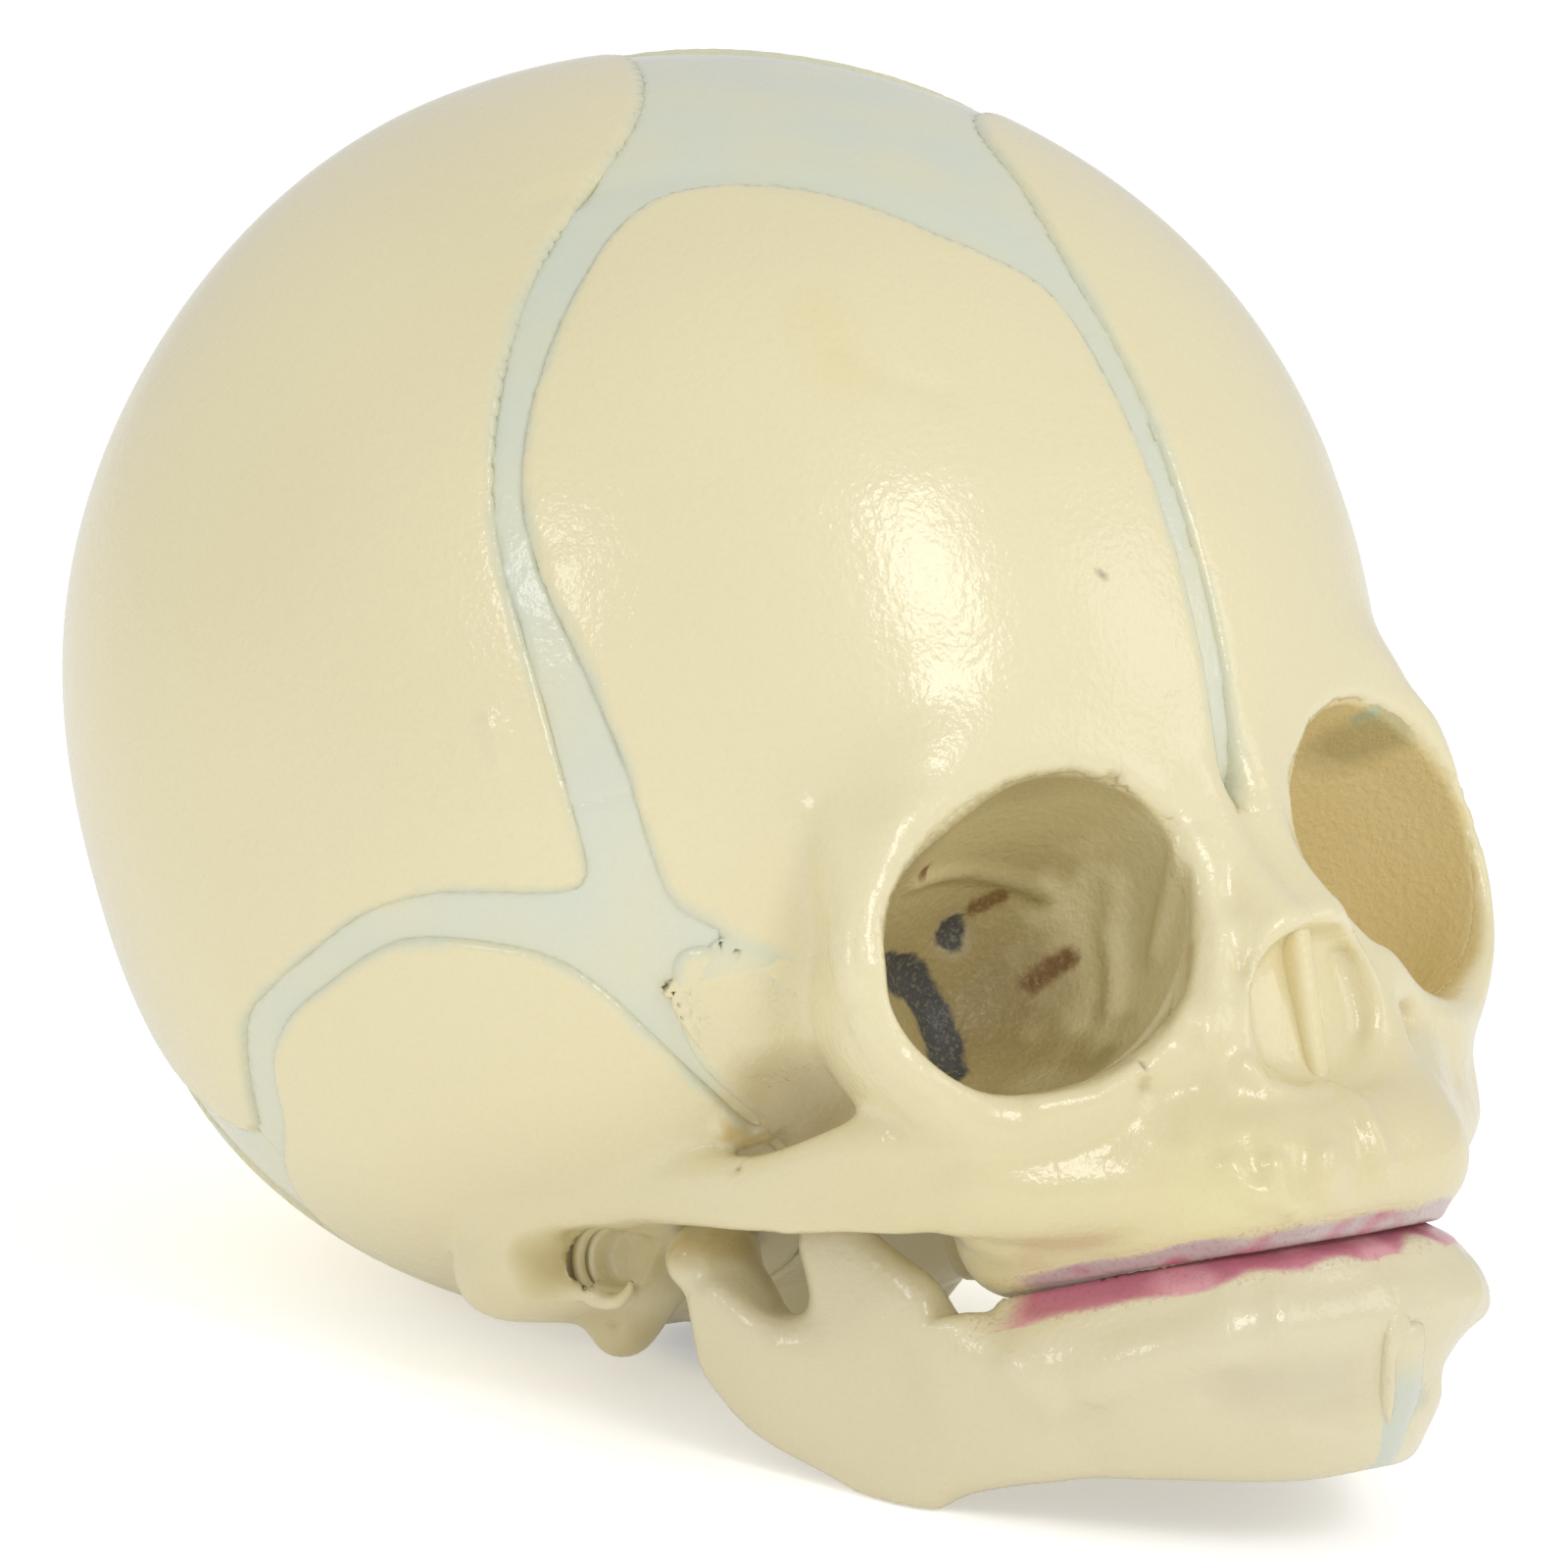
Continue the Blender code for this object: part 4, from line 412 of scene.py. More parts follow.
TEMPORAL_CHAIN_SHARES = [
    # Arch and its root above the ear
    [
        [((0.894, 0.44, 0.082), (0.047, 0.065, 0.046)), ((0.885, 0.44, 0.016), (0.047, 0.065, 0.042))],
        [((0.888, 0.27, 0.086), (0.047, 0.065, 0.038)), ((0.882, 0.27, 0.04), (0.047, 0.065, 0.038))],
        [((0.871, 0.118, 0.108), (0.059, 0.073, 0.046)), ((0.859, 0.118, 0.076), (0.059, 0.073, 0.038))],
        [((0.85, -0.032, 0.12), (0.079, 0.073, 0.054))],
        [((0.86, -0.13, 0.124), (0.079, 0.073, 0.058))],
        [((0.90, -0.28, 0.13), (0.079, 0.09, 0.06))],
    ],
    # Roof of the jaw socket
    [
        [((0.62, 0.03, 0.10), (0.10, 0.10, 0.044))],
        [((0.78, 0.05, 0.11), (0.13, 0.10, 0.044))],
        [((0.80, -0.14, 0.12), (0.12, 0.08, 0.06))],
    ],
    # Body round the ear
    [
        [((0.76, -0.19, 0.06), (0.13, 0.10, 0.085)), ((0.85, -0.32, 0.06), (0.12, 0.13, 0.09))],
        [((0.62, -0.24, 0.02), (0.15, 0.12, 0.085))],
    ],
    # Knob below the ear
    [
        [((0.62, -0.25, 0.0), (0.14, 0.10, 0.07))],
        [((0.645, -0.27, -0.075), (0.075, 0.055, 0.04))],
    ],
]

BASE_CHAIN_SHARES = [
    # Basilar part
    [
        [((0.0, 0.26, 0.07), (0.26, 0.17, 0.08))],
        [((0.0, 0.04, -0.02), (0.21, 0.13, 0.065))],
        [((0.0, -0.13, -0.06), (0.20, 0.09, 0.05))],
    ],
    # Condyles beside the foramen
    [
        [((0.22, -0.26, -0.09), (0.075, 0.11, 0.05))],
        [((0.20, -0.20, -0.06), (0.09, 0.10, 0.05))],
    ],
    # Pterygoid processes
    [
        [((0.24, 0.27, 0.05), (0.07, 0.07, 0.08))],
        [((0.28, 0.27, -0.09), (0.045, 0.05, 0.035))],
    ],
]


# Seams
BROW_SEAM = 18.75
NASION_SEAM = 23.0
NASION_SEAM_HALF_BREADTH = 20.4
ZYGOMA_SEAM_SHARE = (0.63, 0.70, 0.0)
ZYGOMA_SEAM_NORMAL = (0.86, 0.42, 0.12)
ARCH_SEAM_SHARE = (0.9, 0.385, 0.035)
ARCH_SEAM_NORMAL = (0.0, 0.94, -0.34)
NASAL_SEAM_SHARE = (0.125, 0.9, 0.36)
NASAL_SEAM_NORMAL = (0.97, 0.0, 0.16)
NASAL_FOOT = 12.75


# Basic fields: negative inside, in millimetres

def unit(vector):
    vector = np.asarray(vector, float)
    return vector / np.linalg.norm(vector)


def smin(a, b, blend):
    share = np.clip(0.5 + 0.5 * (b - a) / blend, 0.0, 1.0)
    return b + (a - b) * share - blend * share * (1.0 - share)


def smax(a, b, blend):
    return -smin(-a, -b, blend)


def largest(*fields):
    result = fields[0]
    for field in fields[1:]:
        result = np.maximum(result, field)
    return result


def ramp(value, start, end):
    """Share of the way from start to end, held between 0 and 1."""
    return np.clip((value - start) / (end - start), 0.0, 1.0)


def folded(points):
    """Points with the left half laid over the right."""
    return np.abs(points * (1, 0, 0)) + points * (0, 1, 1)


def plane(points, through, normal):
    """Distance past a plane, towards its normal."""
    return (points - np.asarray(through)) @ unit(normal)


def ellipsoid(offset, radii):
    reach = np.sqrt(((offset / radii) ** 2).sum(-1))
    slope = np.sqrt(((offset / radii ** 2) ** 2).sum(-1))
    return np.where(reach < 1e-6, -np.min(radii, -1), reach * (reach - 1.0) / np.maximum(slope, 1e-9))


def stretched(points, start, end):
    """Skin round two ellipsoids and all between them."""
    (centre, radii), (far_centre, far_radii) = start, end
    scale = (radii + far_radii) / 2
    along = (far_centre - centre) / scale
    share = ((points - centre) / scale) @ along / max(along @ along, 1e-9)
    share = np.clip(share, 0.0, 1.0)[:, None]
    return ellipsoid(points - (centre + share * (far_centre - centre)), radii + share * (far_radii - radii))


def webbed(points, balls):
    """Skin round three ellipsoids and the web between them."""
    field = stretched(points, balls[0], balls[1])
    field = np.minimum(field, stretched(points, balls[1], balls[2]))
    field = np.minimum(field, stretched(points, balls[0], balls[2]))
    (a, ra), (b, rb), (c, rc) = balls
    scale = (ra + rb + rc) / 3
    u = (b - a) / scale
    v = (c - a) / scale
    w = (points - a) / scale
    uu, uv, vv = u @ u, u @ v, v @ v
    wu, wv = w @ u, w @ v
    root = uu * vv - uv * uv
    if root < 1e-9:
        return field
    s = (vv * wu - uv * wv) / root
    t = (uu * wv - uv * wu) / root
    inside = (s > 0) & (t > 0) & (s + t < 1)
    if inside.any():
        s = s[inside, None]
        t = t[inside, None]
        centre = a + s * (b - a) + t * (c - a)
        radii = ra + s * (rb - ra) + t * (rc - ra)
        field[inside] = np.minimum(field[inside], ellipsoid(points[inside] - centre, radii))
    return field


def lump_field(points, balls):
    """Skin round the two or four balls of a hull."""
    if len(balls) == 2:
        return stretched(points, *balls)
    return np.minimum(webbed(points, balls[:3]), webbed(points, balls[1:]))


def face_place(share, side=LEFT):
    return np.array(share) * FACE_SIZE * (side, 1, 1)


def face_radii(share):
    return np.array(share) * np.abs(FACE_SIZE)


def smooth_sections(sections):
    """Sections of a chain with more of them in between, on a smooth curve."""
    result = []
    for i in range(len(sections) - 1):
        before = sections[max(i - 1, 0)]
        here, ahead = sections[i], sections[i + 1]
        beyond = sections[min(i + 2, len(sections) - 1)]
        for step in range(SWEEP_STEPS):
            t = step / SWEEP_STEPS
            curve = t * (ahead - before) + t * t * (2 * before - 5 * here + 4 * ahead - beyond)
            curve += t ** 3 * (3 * here - before - 3 * ahead + beyond)
            result.append(here + curve / 2)
    return result + [sections[-1]]


def swept(chain, side):
    """Hulls of a chain: each a list of balls, place and radii, of two neighbouring sections."""
    width = max(len(section) for section in chain)
    sections = []
    for section in chain:
        balls = [np.concatenate([face_place(place, side), face_radii(radii)]) for place, radii in section]
        sections.append(np.array(balls + balls[-1:] * (width - len(balls))))
    sections = smooth_sections(sections)
    return [[(ball[:3], ball[3:]) for ball in np.concatenate([near, far])]
            for near, far in zip(sections, sections[1:])]


def arch_chain(arch, rise, radii):
    """Chain of single balls along the arch of a gum."""
    return [[((x, y, rise), radii)] for x, y in arch]


def hulls_of(chains):
    return [balls for chain in chains for side in SIDES for balls in swept(chain, side)]


UPPER_ARCH = arch_chain(UPPER_ARCH_SHARES, ALVEOLUS_RISE_SHARE, ALVEOLUS_RADIUS_SHARES)
LOWER_ARCH = arch_chain(LOWER_ARCH_SHARES, GUM_RISE_SHARE, GUM_RADIUS_SHARES)
UPPER_HULLS = hulls_of(BROW_CHAIN_SHARES + MIDFACE_CHAIN_SHARES + TEMPORAL_CHAIN_SHARES + [UPPER_ARCH])
BASE_HULLS = hulls_of(BASE_CHAIN_SHARES)
JAW_HULLS = hulls_of(JAW_CHAIN_SHARES + [LOWER_ARCH])


def united(points, field, hulls):
    """Run hulls into a field, each for the points near it."""
    field = field.copy()
    for balls in hulls:
        low = np.min([centre - radii for centre, radii in balls], 0) - HULL_REACH
        high = np.max([centre + radii for centre, radii in balls], 0) + HULL_REACH
        near = np.flatnonzero(((points > low) & (points < high)).all(1))
        if len(near):
            field[near] = np.minimum(field[near], lump_field(points[near], balls))
    return field


class Cast:
    def __init__(self, field, low, high, softness):
        self.low = np.array(low, float)
        counts = np.ceil((np.array(high) - self.low) / CAST_STEP).astype(int) + 1
        values = sampled(field, self.low, counts, CAST_STEP)
        self.values = [softened(values, reach / CAST_STEP) for reach in softness]

    def margin(self, points):
        """How far points lie inside the box."""
        high = self.low + CAST_STEP * (np.array(self.values[0].shape) - 1)
        inset = np.minimum(points - self.low, high - points)
        return inset.min(1)

    def __call__(self, points, layer=0):
        values = self.values[layer]
        spot = (points - self.low) / CAST_STEP
        held = np.clip(spot, 0.0, np.array(values.shape) - LAST_CELL)
        beyond = np.linalg.norm(spot - held, axis=1) * CAST_STEP
        cell = held.astype(int)
        share = held - cell
        i, j, k = cell.T
        u, v, w = share.T
        near = ((values[i, j, k] * (1 - u) + values[i + 1, j, k] * u) * (1 - v)
                + (values[i, j + 1, k] * (1 - u) + values[i + 1, j + 1, k] * u) * v)
        far = ((values[i, j, k + 1] * (1 - u) + values[i + 1, j, k + 1] * u) * (1 - v)
               + (values[i, j + 1, k + 1] * (1 - u) + values[i + 1, j + 1, k + 1] * u) * v)
        return near * (1 - w) + far * w + beyond


def softened(values, reach):
    """Values evened out over a few cells."""
    half = int(math.ceil(reach * SOFTENING_REACH))
    weights = np.exp(-0.5 * (np.arange(-half, half + 1) / reach) ** 2)
    weights /= weights.sum()
    for axis in range(3):
        padding = [(0, 0)] * 3
        padding[axis] = (half, half)
        wide = np.pad(values, padding, mode="edge")
        length = values.shape[axis]
        result = np.zeros_like(values)
        for i, weight in enumerate(weights):
            part = [slice(None)] * 3
            part[axis] = slice(i, i + length)
            result += weight * wide[tuple(part)]
        values = result
    return values


# Vault

def vault_field(points):
    offset = points - VAULT_CENTRE
    distance = np.linalg.norm(offset, axis=1)
    direction = offset / distance[:, None]
    x = np.abs(direction[:, 0]) / (VAULT_HALF_BREADTH * (1.0 + VAULT_TAPER_SHARE * direction[:, 1]))
    y = np.abs(direction[:, 1]) / np.where(direction[:, 1] < 0, VAULT_FRONT, VAULT_BACK)
    z = np.abs(direction[:, 2]) / np.where(direction[:, 2] < 0, VAULT_BOTTOM, VAULT_TOP)
    power = VAULT_ROUNDNESS
    radius = (x ** power + y ** power + z ** power) ** (-1.0 / power)
    for height, peak, spread in VAULT_BUMPS:
        radius += height * np.exp(-2.0 * (1.0 - folded(direction) @ unit(peak)) / spread ** 2)
    return distance - radius


def heading(turn, rise, side):
    """Direction on the vault from its turn and rise in degrees."""
    turn = math.radians(turn)
    rise = math.radians(rise)
    level = math.cos(rise)
    return np.array([side * math.sin(turn) * level, -math.cos(turn) * level, math.sin(rise)])


def outline_of(degrees, side=RIGHT):
    return [heading(turn, rise, side) for turn, rise in degrees]


def both_sides(degrees):
    right = outline_of(degrees, RIGHT)
    left = [point for point in outline_of(degrees, LEFT) if abs(point[0]) > 1e-6]
    return right + left[::-1]


def rounded(outline):
    """Outline with a point added in the middle of each stretch, on a smooth curve."""
    result = []
    count = len(outline)
    for i, point in enumerate(outline):
        ahead = outline[(i + 1) % count]
        result.append(point)
        result.append(unit((point + ahead) * ROUNDING_WEIGHT - outline[i - 1] - outline[(i + 2) % count]))
    return result


class Region:
    """Area on the vault: how far a point lies outside its outline, from a map round its hub."""

    def __init__(self, outline, smooth=True):
        if smooth:
            outline = rounded(rounded(outline))
        outline = np.array(outline)
        self.hub = unit(outline.sum(0))
        self.east = unit(np.cross(self.hub, (0.0, 0.3, 1.0)))
        self.north = np.cross(self.hub, self.east)
        corners = self.flat(outline)
        self.low = corners.min(0) - REGION_MARGIN
        counts = np.ceil((corners.max(0) + REGION_MARGIN - self.low) / REGION_STEP).astype(int) + 1
        xs = self.low[0] + REGION_STEP * np.arange(counts[0])
        ys = self.low[1] + REGION_STEP * np.arange(counts[1])
        gx, gy = np.meshgrid(xs, ys, indexing="ij")
        nearest = np.full(gx.shape, FAR_AWAY)
        inside = np.zeros(gx.shape, bool)
        for i in range(len(corners)):
            ax, ay = corners[i - 1]
            bx, by = corners[i]
            dx, dy = bx - ax, by - ay
            share = np.clip(((gx - ax) * dx + (gy - ay) * dy) / (dx * dx + dy * dy + 1e-12), 0, 1)
            nearest = np.minimum(nearest, (gx - ax - share * dx) ** 2 + (gy - ay - share * dy) ** 2)
            if ay != by:
                crossing = ((ay > gy) != (by > gy)) & (gx < ax + (gy - ay) * dx / dy)
                inside ^= crossing
        self.map = np.sqrt(nearest) * np.where(inside, -1.0, 1.0)

    def flat(self, direction):
        across = direction @ self.east
        upward = direction @ self.north
        ahead = direction @ self.hub
        level = np.sqrt(across ** 2 + upward ** 2)
        reach = np.arctan2(level, ahead) / np.maximum(level, 1e-9) * REGION_RADIUS
        return np.stack([across * reach, upward * reach], -1)

    def __call__(self, points):
        offset = points - VAULT_CENTRE
        direction = offset / np.linalg.norm(offset, axis=1)[:, None]
        spot = (self.flat(direction) - self.low) / REGION_STEP
        top = np.array(self.map.shape) - LAST_CELL
        held = np.clip(spot, 0.0, top)
        beyond = np.linalg.norm(spot - held, axis=1) * REGION_STEP
        cell = held.astype(int)
        share = held - cell
        i, j = cell.T
        u, v = share.T
        value = (self.map[i, j] * (1 - u) * (1 - v) + self.map[i + 1, j] * u * (1 - v)
                 + self.map[i, j + 1] * (1 - u) * v + self.map[i + 1, j + 1] * u * v)
        return value + beyond


def frontal_outline(side):
    top = FONTANELLE_FRONT_EDGE_RIGHT if side == RIGHT else FONTANELLE_FRONT_EDGE_LEFT
    return outline_of(METOPIC_EDGE + top + CORONAL_FRONT_EDGE + FRONTAL_LOWER_EDGE, side)


PARIETAL_EDGE = (SAGITTAL_EDGE + LAMBDOID_FRONT_EDGE + MASTOID_FRONT_EDGE + SQUAMOSAL_UPPER_EDGE
                 + CORONAL_REAR_EDGE + FONTANELLE_REAR_EDGE)
TEMPORAL_EDGE = TEMPORAL_FRONT_EDGE + TEMPORAL_UPPER_EDGE + TEMPORAL_REAR_EDGE + TEMPORAL_LOWER_EDGE
WING_EDGE = WING_UPPER_EDGE + WING_FRONT_EDGE + WING_REAR_EDGE

FRONTAL = {side: Region(frontal_outline(side)) for side in SIDES}
PARIETAL, TEMPORAL, WING = [{side: Region(outline_of(edge, side)) for side in SIDES}
                            for edge in (PARIETAL_EDGE, TEMPORAL_EDGE, WING_EDGE)]
OCCIPITAL = Region(both_sides(OCCIPITAL_EDGE))
BASE = Region(both_sides(BASE_EDGE))
FRONT_REGION = Region(both_sides(FRONT_REGION_EDGE), smooth=False)
REAR_REGION = Region(both_sides(REAR_REGION_EDGE), smooth=False)
SIDE_REGION = Region(outline_of(SIDE_REGION_EDGE), smooth=False)


# Shared cuts

def orbit_frame(side):
    flip = np.array([side, 1, 1])
    axes = [unit(direction) * flip for direction in
            (ORBIT_SIDE_DIRECTION, ORBIT_UP_DIRECTION, ORBIT_AXIS_DIRECTION)]
    return face_place(ORBIT_CENTRE_SHARE, side), np.linalg.inv(np.array(axes).T)


ORBIT_FRAMES = {side: orbit_frame(side) for side in SIDES}


def orbit_spot(points, side):
    """Place in the eye socket: across, up and inwards."""
    centre, into = ORBIT_FRAMES[side]
    return (points - centre) @ into.T


def orbit_field(points, side, grown=0.0):
    """Room of the eye socket, grown on all sides."""
    spot = orbit_spot(raised(points), side)
    power = ORBIT_SQUARENESS
    width = ORBIT_HALF_WIDTH + grown
    height = ORBIT_HALF_HEIGHT + grown
    depth = spot[:, 2] / (ORBIT_DEPTH + grown)
    ring = (np.abs(spot[:, 0] / width) ** power + np.abs(spot[:, 1] / height) ** power) ** (1.0 / power)
    angle = np.degrees(np.arctan2(spot[:, 1], spot[:, 0]))
    reach = np.ones(len(angle))
    for share, heading_of_bulge, spread in ORBIT_BULGES:
        reach += share * np.exp(-(((angle - heading_of_bulge + 180.0) % 360.0 - 180.0) / spread) ** 2)
    ring = ring / reach
    behind = np.sqrt(ring ** ORBIT_RING_POWER + np.abs(depth) ** ORBIT_DEPTH_POWER)
    before = ring / (1.0 + ORBIT_FLARE * np.maximum(-depth, 0.0))
    return (np.where(depth > 0, behind, before) - 1.0) * width


def orbit_room(points, side):
    """Room in the bones: the open mouth, and behind its lip the seat of the lining."""
    depth = orbit_spot(points, side)[:, 2]
    seat = np.maximum(orbit_field(points, side, ORBIT_WALL / 2), ORBIT_LIP - depth)
    mouth = np.maximum(orbit_field(points, side), depth - ORBIT_LIP - ORBIT_SEAT_LAP)
    return np.minimum(mouth, seat)


def nasal_field(points, grown=0.0):
    """Nasal opening: one rounded window, narrower at the top, with a shallow floor."""
    spots = raised(points)
    height = (NASAL_TOP - NASAL_FLOOR) / 2
    rise = (spots[:, 2] - NASAL_FLOOR - height) / height
    width = NASAL_MEAN_WIDTH_SHARE - NASAL_TAPER_SHARE * np.clip(rise, -1.0, 1.0)
    width = NASAL_HALF_WIDTH * width + grown
    power = NASAL_SQUARENESS
    ring = np.abs(spots[:, 0] / width) ** power + np.abs(rise * height / (height + grown)) ** power
    floor = spots[:, 1] - NASAL_FRONT - NASAL_DEPTH
    return smax((ring ** (1.0 / power) - 1.0) * height, floor, NASAL_FLOOR_BLEND)


def condyle_field(points, side, extra):
    radii = np.array([CONDYLE_LENGTH / 2, CONDYLE_RADIUS, CONDYLE_RADIUS]) + extra
    return ellipsoid(points - (side * CONDYLE_SIDE, 0.0, 0.0), radii)


def above_bite(points):
    """Distance above the bite, which is crowned along the lower gum."""
    crown = ramp(gum_band(points, LOWER_ARCH_SHARES) + GUM_HALF_WIDTH, BITE_CROWN_WIDTH, 0.0)
    return points[:, 2] - BITE_RISE - BITE_SLOPE * (points[:, 1] + FACE_LENGTH) - BITE_CROWN * crown


def above_table(points):
    return points[:, 2] * math.cos(STANCE_PITCH) - points[:, 1] * math.sin(STANCE_PITCH) + HINGE[2]


def brow_side(points):
    """How far a point lies below the seam between the frontal bone and the face."""
    middle = np.abs(points[:, 0]) < NASION_SEAM_HALF_BREADTH
    return np.where(middle, NASION_SEAM, BROW_SEAM) - points[:, 2]


def upper_skin(points, vault=None):
    """Outer skin of the cranium and face."""
    if vault is None:
        vault = vault_field(points)
    spots = folded(raised(points))
    above = ramp(spots[:, 2], FOREHEAD_FOOT, FOREHEAD_TOP)
    form = UPPER_CAST(spots) * (1.0 - above) + UPPER_CAST(spots, 1) * above
    low_face = points[:, 2] < NASAL_TOP + NASAL_RIM_REACH
    if low_face.any():
        form[low_face] = smin(form[low_face], nasal_rim(points[low_face]), NASAL_RIM_BLEND)
    share = ramp(UPPER_CAST.margin(spots), 0.0, CAST_FADE)
    return form * share + vault * (1.0 - share)


def nasal_rim(points):
    """Thin wall round the nasal opening, whose edge leans forward at the top."""
    front = NASAL_RIM_FRONT - NASAL_RIM_LEAN * points[:, 2] - points[:, 1]
    return smax(nasal_field(points, NASAL_RIM), np.maximum(front, points[:, 1] - NASAL_RIM_BACK), NASAL_RIM)


def raised(points):
    """Places in the even face, whose left eye socket sits a little higher in the cast."""
    x, y, z = points.T
    share = ramp(z, *RAISED_FROM_FOOT) * ramp(z, *RAISED_TO_TOP)
    share = share * ramp(y, *RAISED_AHEAD) * ramp(x, *RAISED_ASIDE)
    return np.stack([x, y, z - LEFT_SOCKET_RISE * share], -1)


def sunk(skin, seam):
    """A skin that dips below its neighbour past a seam."""
    return skin + SEAM_SINK * np.clip(seam, 0.0, SEAM_SINK_REACH)


# Pieces

def frontal_bone(points, side):
    vault = vault_field(points)
    below = brow_side(points)
    own = np.minimum(FRONTAL[side](points), np.maximum(BROW_GRIP - vault, below - SEAM_OVERLAP))
    skin = smax(sunk(upper_skin(points, vault), below), own, EDGE_BLEND)
    skin = smax(skin, -orbit_room(points, side), RIM_BLEND)
    middle = MIDLINE_OVERLAP - side * points[:, 0]
    return largest(skin, -(vault + BONE_WALL), middle, -orbit_room(points, -side))


def shell_bone(points, region):
    """Shell of the vault within an outline."""
    vault = vault_field(points)
    return np.maximum(smax(vault, region, EDGE_BLEND), -(vault + BONE_WALL))


def parietal_bone(points, side):
    return shell_bone(points, PARIETAL[side](points))


def occipital_bone(points, side):
    field = shell_bone(points, OCCIPITAL(points))
    return np.maximum(smax(field, -foramen_field(points), EDGE_BLEND), -above_table(points))


def foramen_field(points):
    ring = np.sqrt((points[:, 0] / FORAMEN_HALF_WIDTH) ** 2
                   + ((points[:, 1] - FORAMEN_BACK) / FORAMEN_HALF_LENGTH) ** 2)
    bore = (ring - 1.0) * FORAMEN_HALF_WIDTH
    return np.maximum(bore, points[:, 2] - VAULT_CENTRE[2] * FORAMEN_TOP_SHARE)


def sphenoid_wing(points, side):
    vault = vault_field(points)
    frontal = FRONTAL[side](points)
    brow = np.minimum(frontal, np.maximum(BROW_GRIP - vault, brow_side(points)))
    skin = sunk(upper_skin(points, vault), -brow)
    skin = smax(skin, WING[side](points), EDGE_BLEND)
    skin = smax(skin, -orbit_room(points, side), EDGE_BLEND)
    return largest(skin, vault - WING_RISE, -(vault + BONE_WALL), -frontal - WING_OVERLAP)


def temporal_bone(points, side):
    vault = vault_field(points)
    arch = plane(points, face_place(ARCH_SEAM_SHARE, side), -np.array(ARCH_SEAM_NORMAL))
    own = np.minimum(TEMPORAL[side](points), TEMPORAL_GRIP - vault)
    skin = smax(sunk(upper_skin(points, vault), arch), own, EDGE_BLEND)
    skin = smax(skin, -condyle_field(points, side, SOCKET_CLEARANCE), EDGE_BLEND)
    offset = points - face_place(EAR_CENTRE_SHARE, side)
    canal = np.hypot(offset[:, 1], offset[:, 2]) - EAR_CANAL_RADIUS
    canal = np.maximum(canal, -offset[:, 0] * side - EAR_CANAL_LENGTH)
    skin = smax(skin, -canal, EDGE_BLEND)
    groove = ring_field(points, side, EAR_RING_CLEARANCE)
    jaw_room = largest(np.abs(points[:, 0]) - JAW_ROOM_SIDE, points[:, 1] + JAW_ROOM_FRONT,
                       points[:, 2] - BONE_WALL)
    socket_wall = condyle_field(points, side, SOCKET_CLEARANCE + SOCKET_WALL)
    hollow = np.maximum(vault + BONE_WALL * TEMPORAL_WALL_SHARE, -socket_wall)
    return largest(skin, -groove, -jaw_room, arch - SEAM_OVERLAP, -hollow, -above_table(points),
                   TEMPORAL_MIDDLE - side * points[:, 0])


def ring_field(points, side, extra=0.0):
    offset = points - face_place(EAR_CENTRE_SHARE, side) + (side * EAR_RING_SINK, 0.0, 0.0)
    tube = np.hypot(offset[:, 1], offset[:, 2]) - EAR_RING_RADIUS
    return np.hypot(tube, offset[:, 0]) - EAR_RING_THICKNESS / 2 - extra


def skull_base(points, side):
    field = smin(shell_bone(points, BASE(points)), BASE_CAST(folded(points)), VAULT_BLEND)
    for other in [table[s] for table in (FRONTAL, WING, TEMPORAL) for s in SIDES] + [OCCIPITAL]:
        field = np.maximum(field, -other(points) - BASE_GAP)
    for s in SIDES:
        field = np.maximum(field, -orbit_field(points, s, ORBIT_WALL))
    field = smax(field, -foramen_field(points), EDGE_BLEND)
    return np.maximum(field, -above_table(points))


def membrane(points, region):
    """Sunk skin of the vault within a region, between all bones."""
    vault = vault_field(points)
    edge = region(points)
    field = largest(sunk(vault + MEMBRANE_RECESS, edge), -(vault + BONE_WALL), edge - MEMBRANE_OVERLAP)
    for bone in ALL_BONES:
        field = np.maximum(field, -(bone(points) + MEMBRANE_TUCK))
    return field


ALL_BONES = [table[side] for table in (FRONTAL, PARIETAL, TEMPORAL, WING) for side in SIDES]
ALL_BONES += [OCCIPITAL, BASE]


def anterior_fontanelle(points, side):
    return membrane(points, FRONT_REGION)


def posterior_fontanelle(points, side):
    return membrane(points, REAR_REGION)


def lateral_membrane(points, side):
    field = membrane(points * (-side, 1, 1), SIDE_REGION)
    return np.maximum(field, -orbit_room(points, side))


def face_part(points):
    """Skin of the middle of the face, with its openings."""
    vault = vault_field(points)
    skin = upper_skin(points, vault)
    skin = smax(skin, -nasal_field(points), EDGE_BLEND)
    for side in SIDES:
        skin = smax(skin, -orbit_room(points, side), RIM_BLEND)
    return np.maximum(skin, FACE_GRIP - vault)


def seams_of_face(points, side):
    """Distances past the seams of the upper jaw of one side, towards its neighbours."""
    flip = np.array([side, 1, 1])
    cheek = plane(points, face_place(ZYGOMA_SEAM_SHARE, side), ZYGOMA_SEAM_NORMAL * flip)
    nasal = -plane(points, face_place(NASAL_SEAM_SHARE, side), NASAL_SEAM_NORMAL * flip)
    arch = plane(points, face_place(ARCH_SEAM_SHARE, side), ARCH_SEAM_NORMAL)
    return cheek, np.minimum(nasal, points[:, 2] - NASAL_FOOT), arch


def piece_within(skin, *seams):
    """The part of a skin on the near side of its seams, running a little under its neighbours."""
    past = largest(*seams)
    return np.maximum(sunk(skin, past), past - SEAM_OVERLAP)


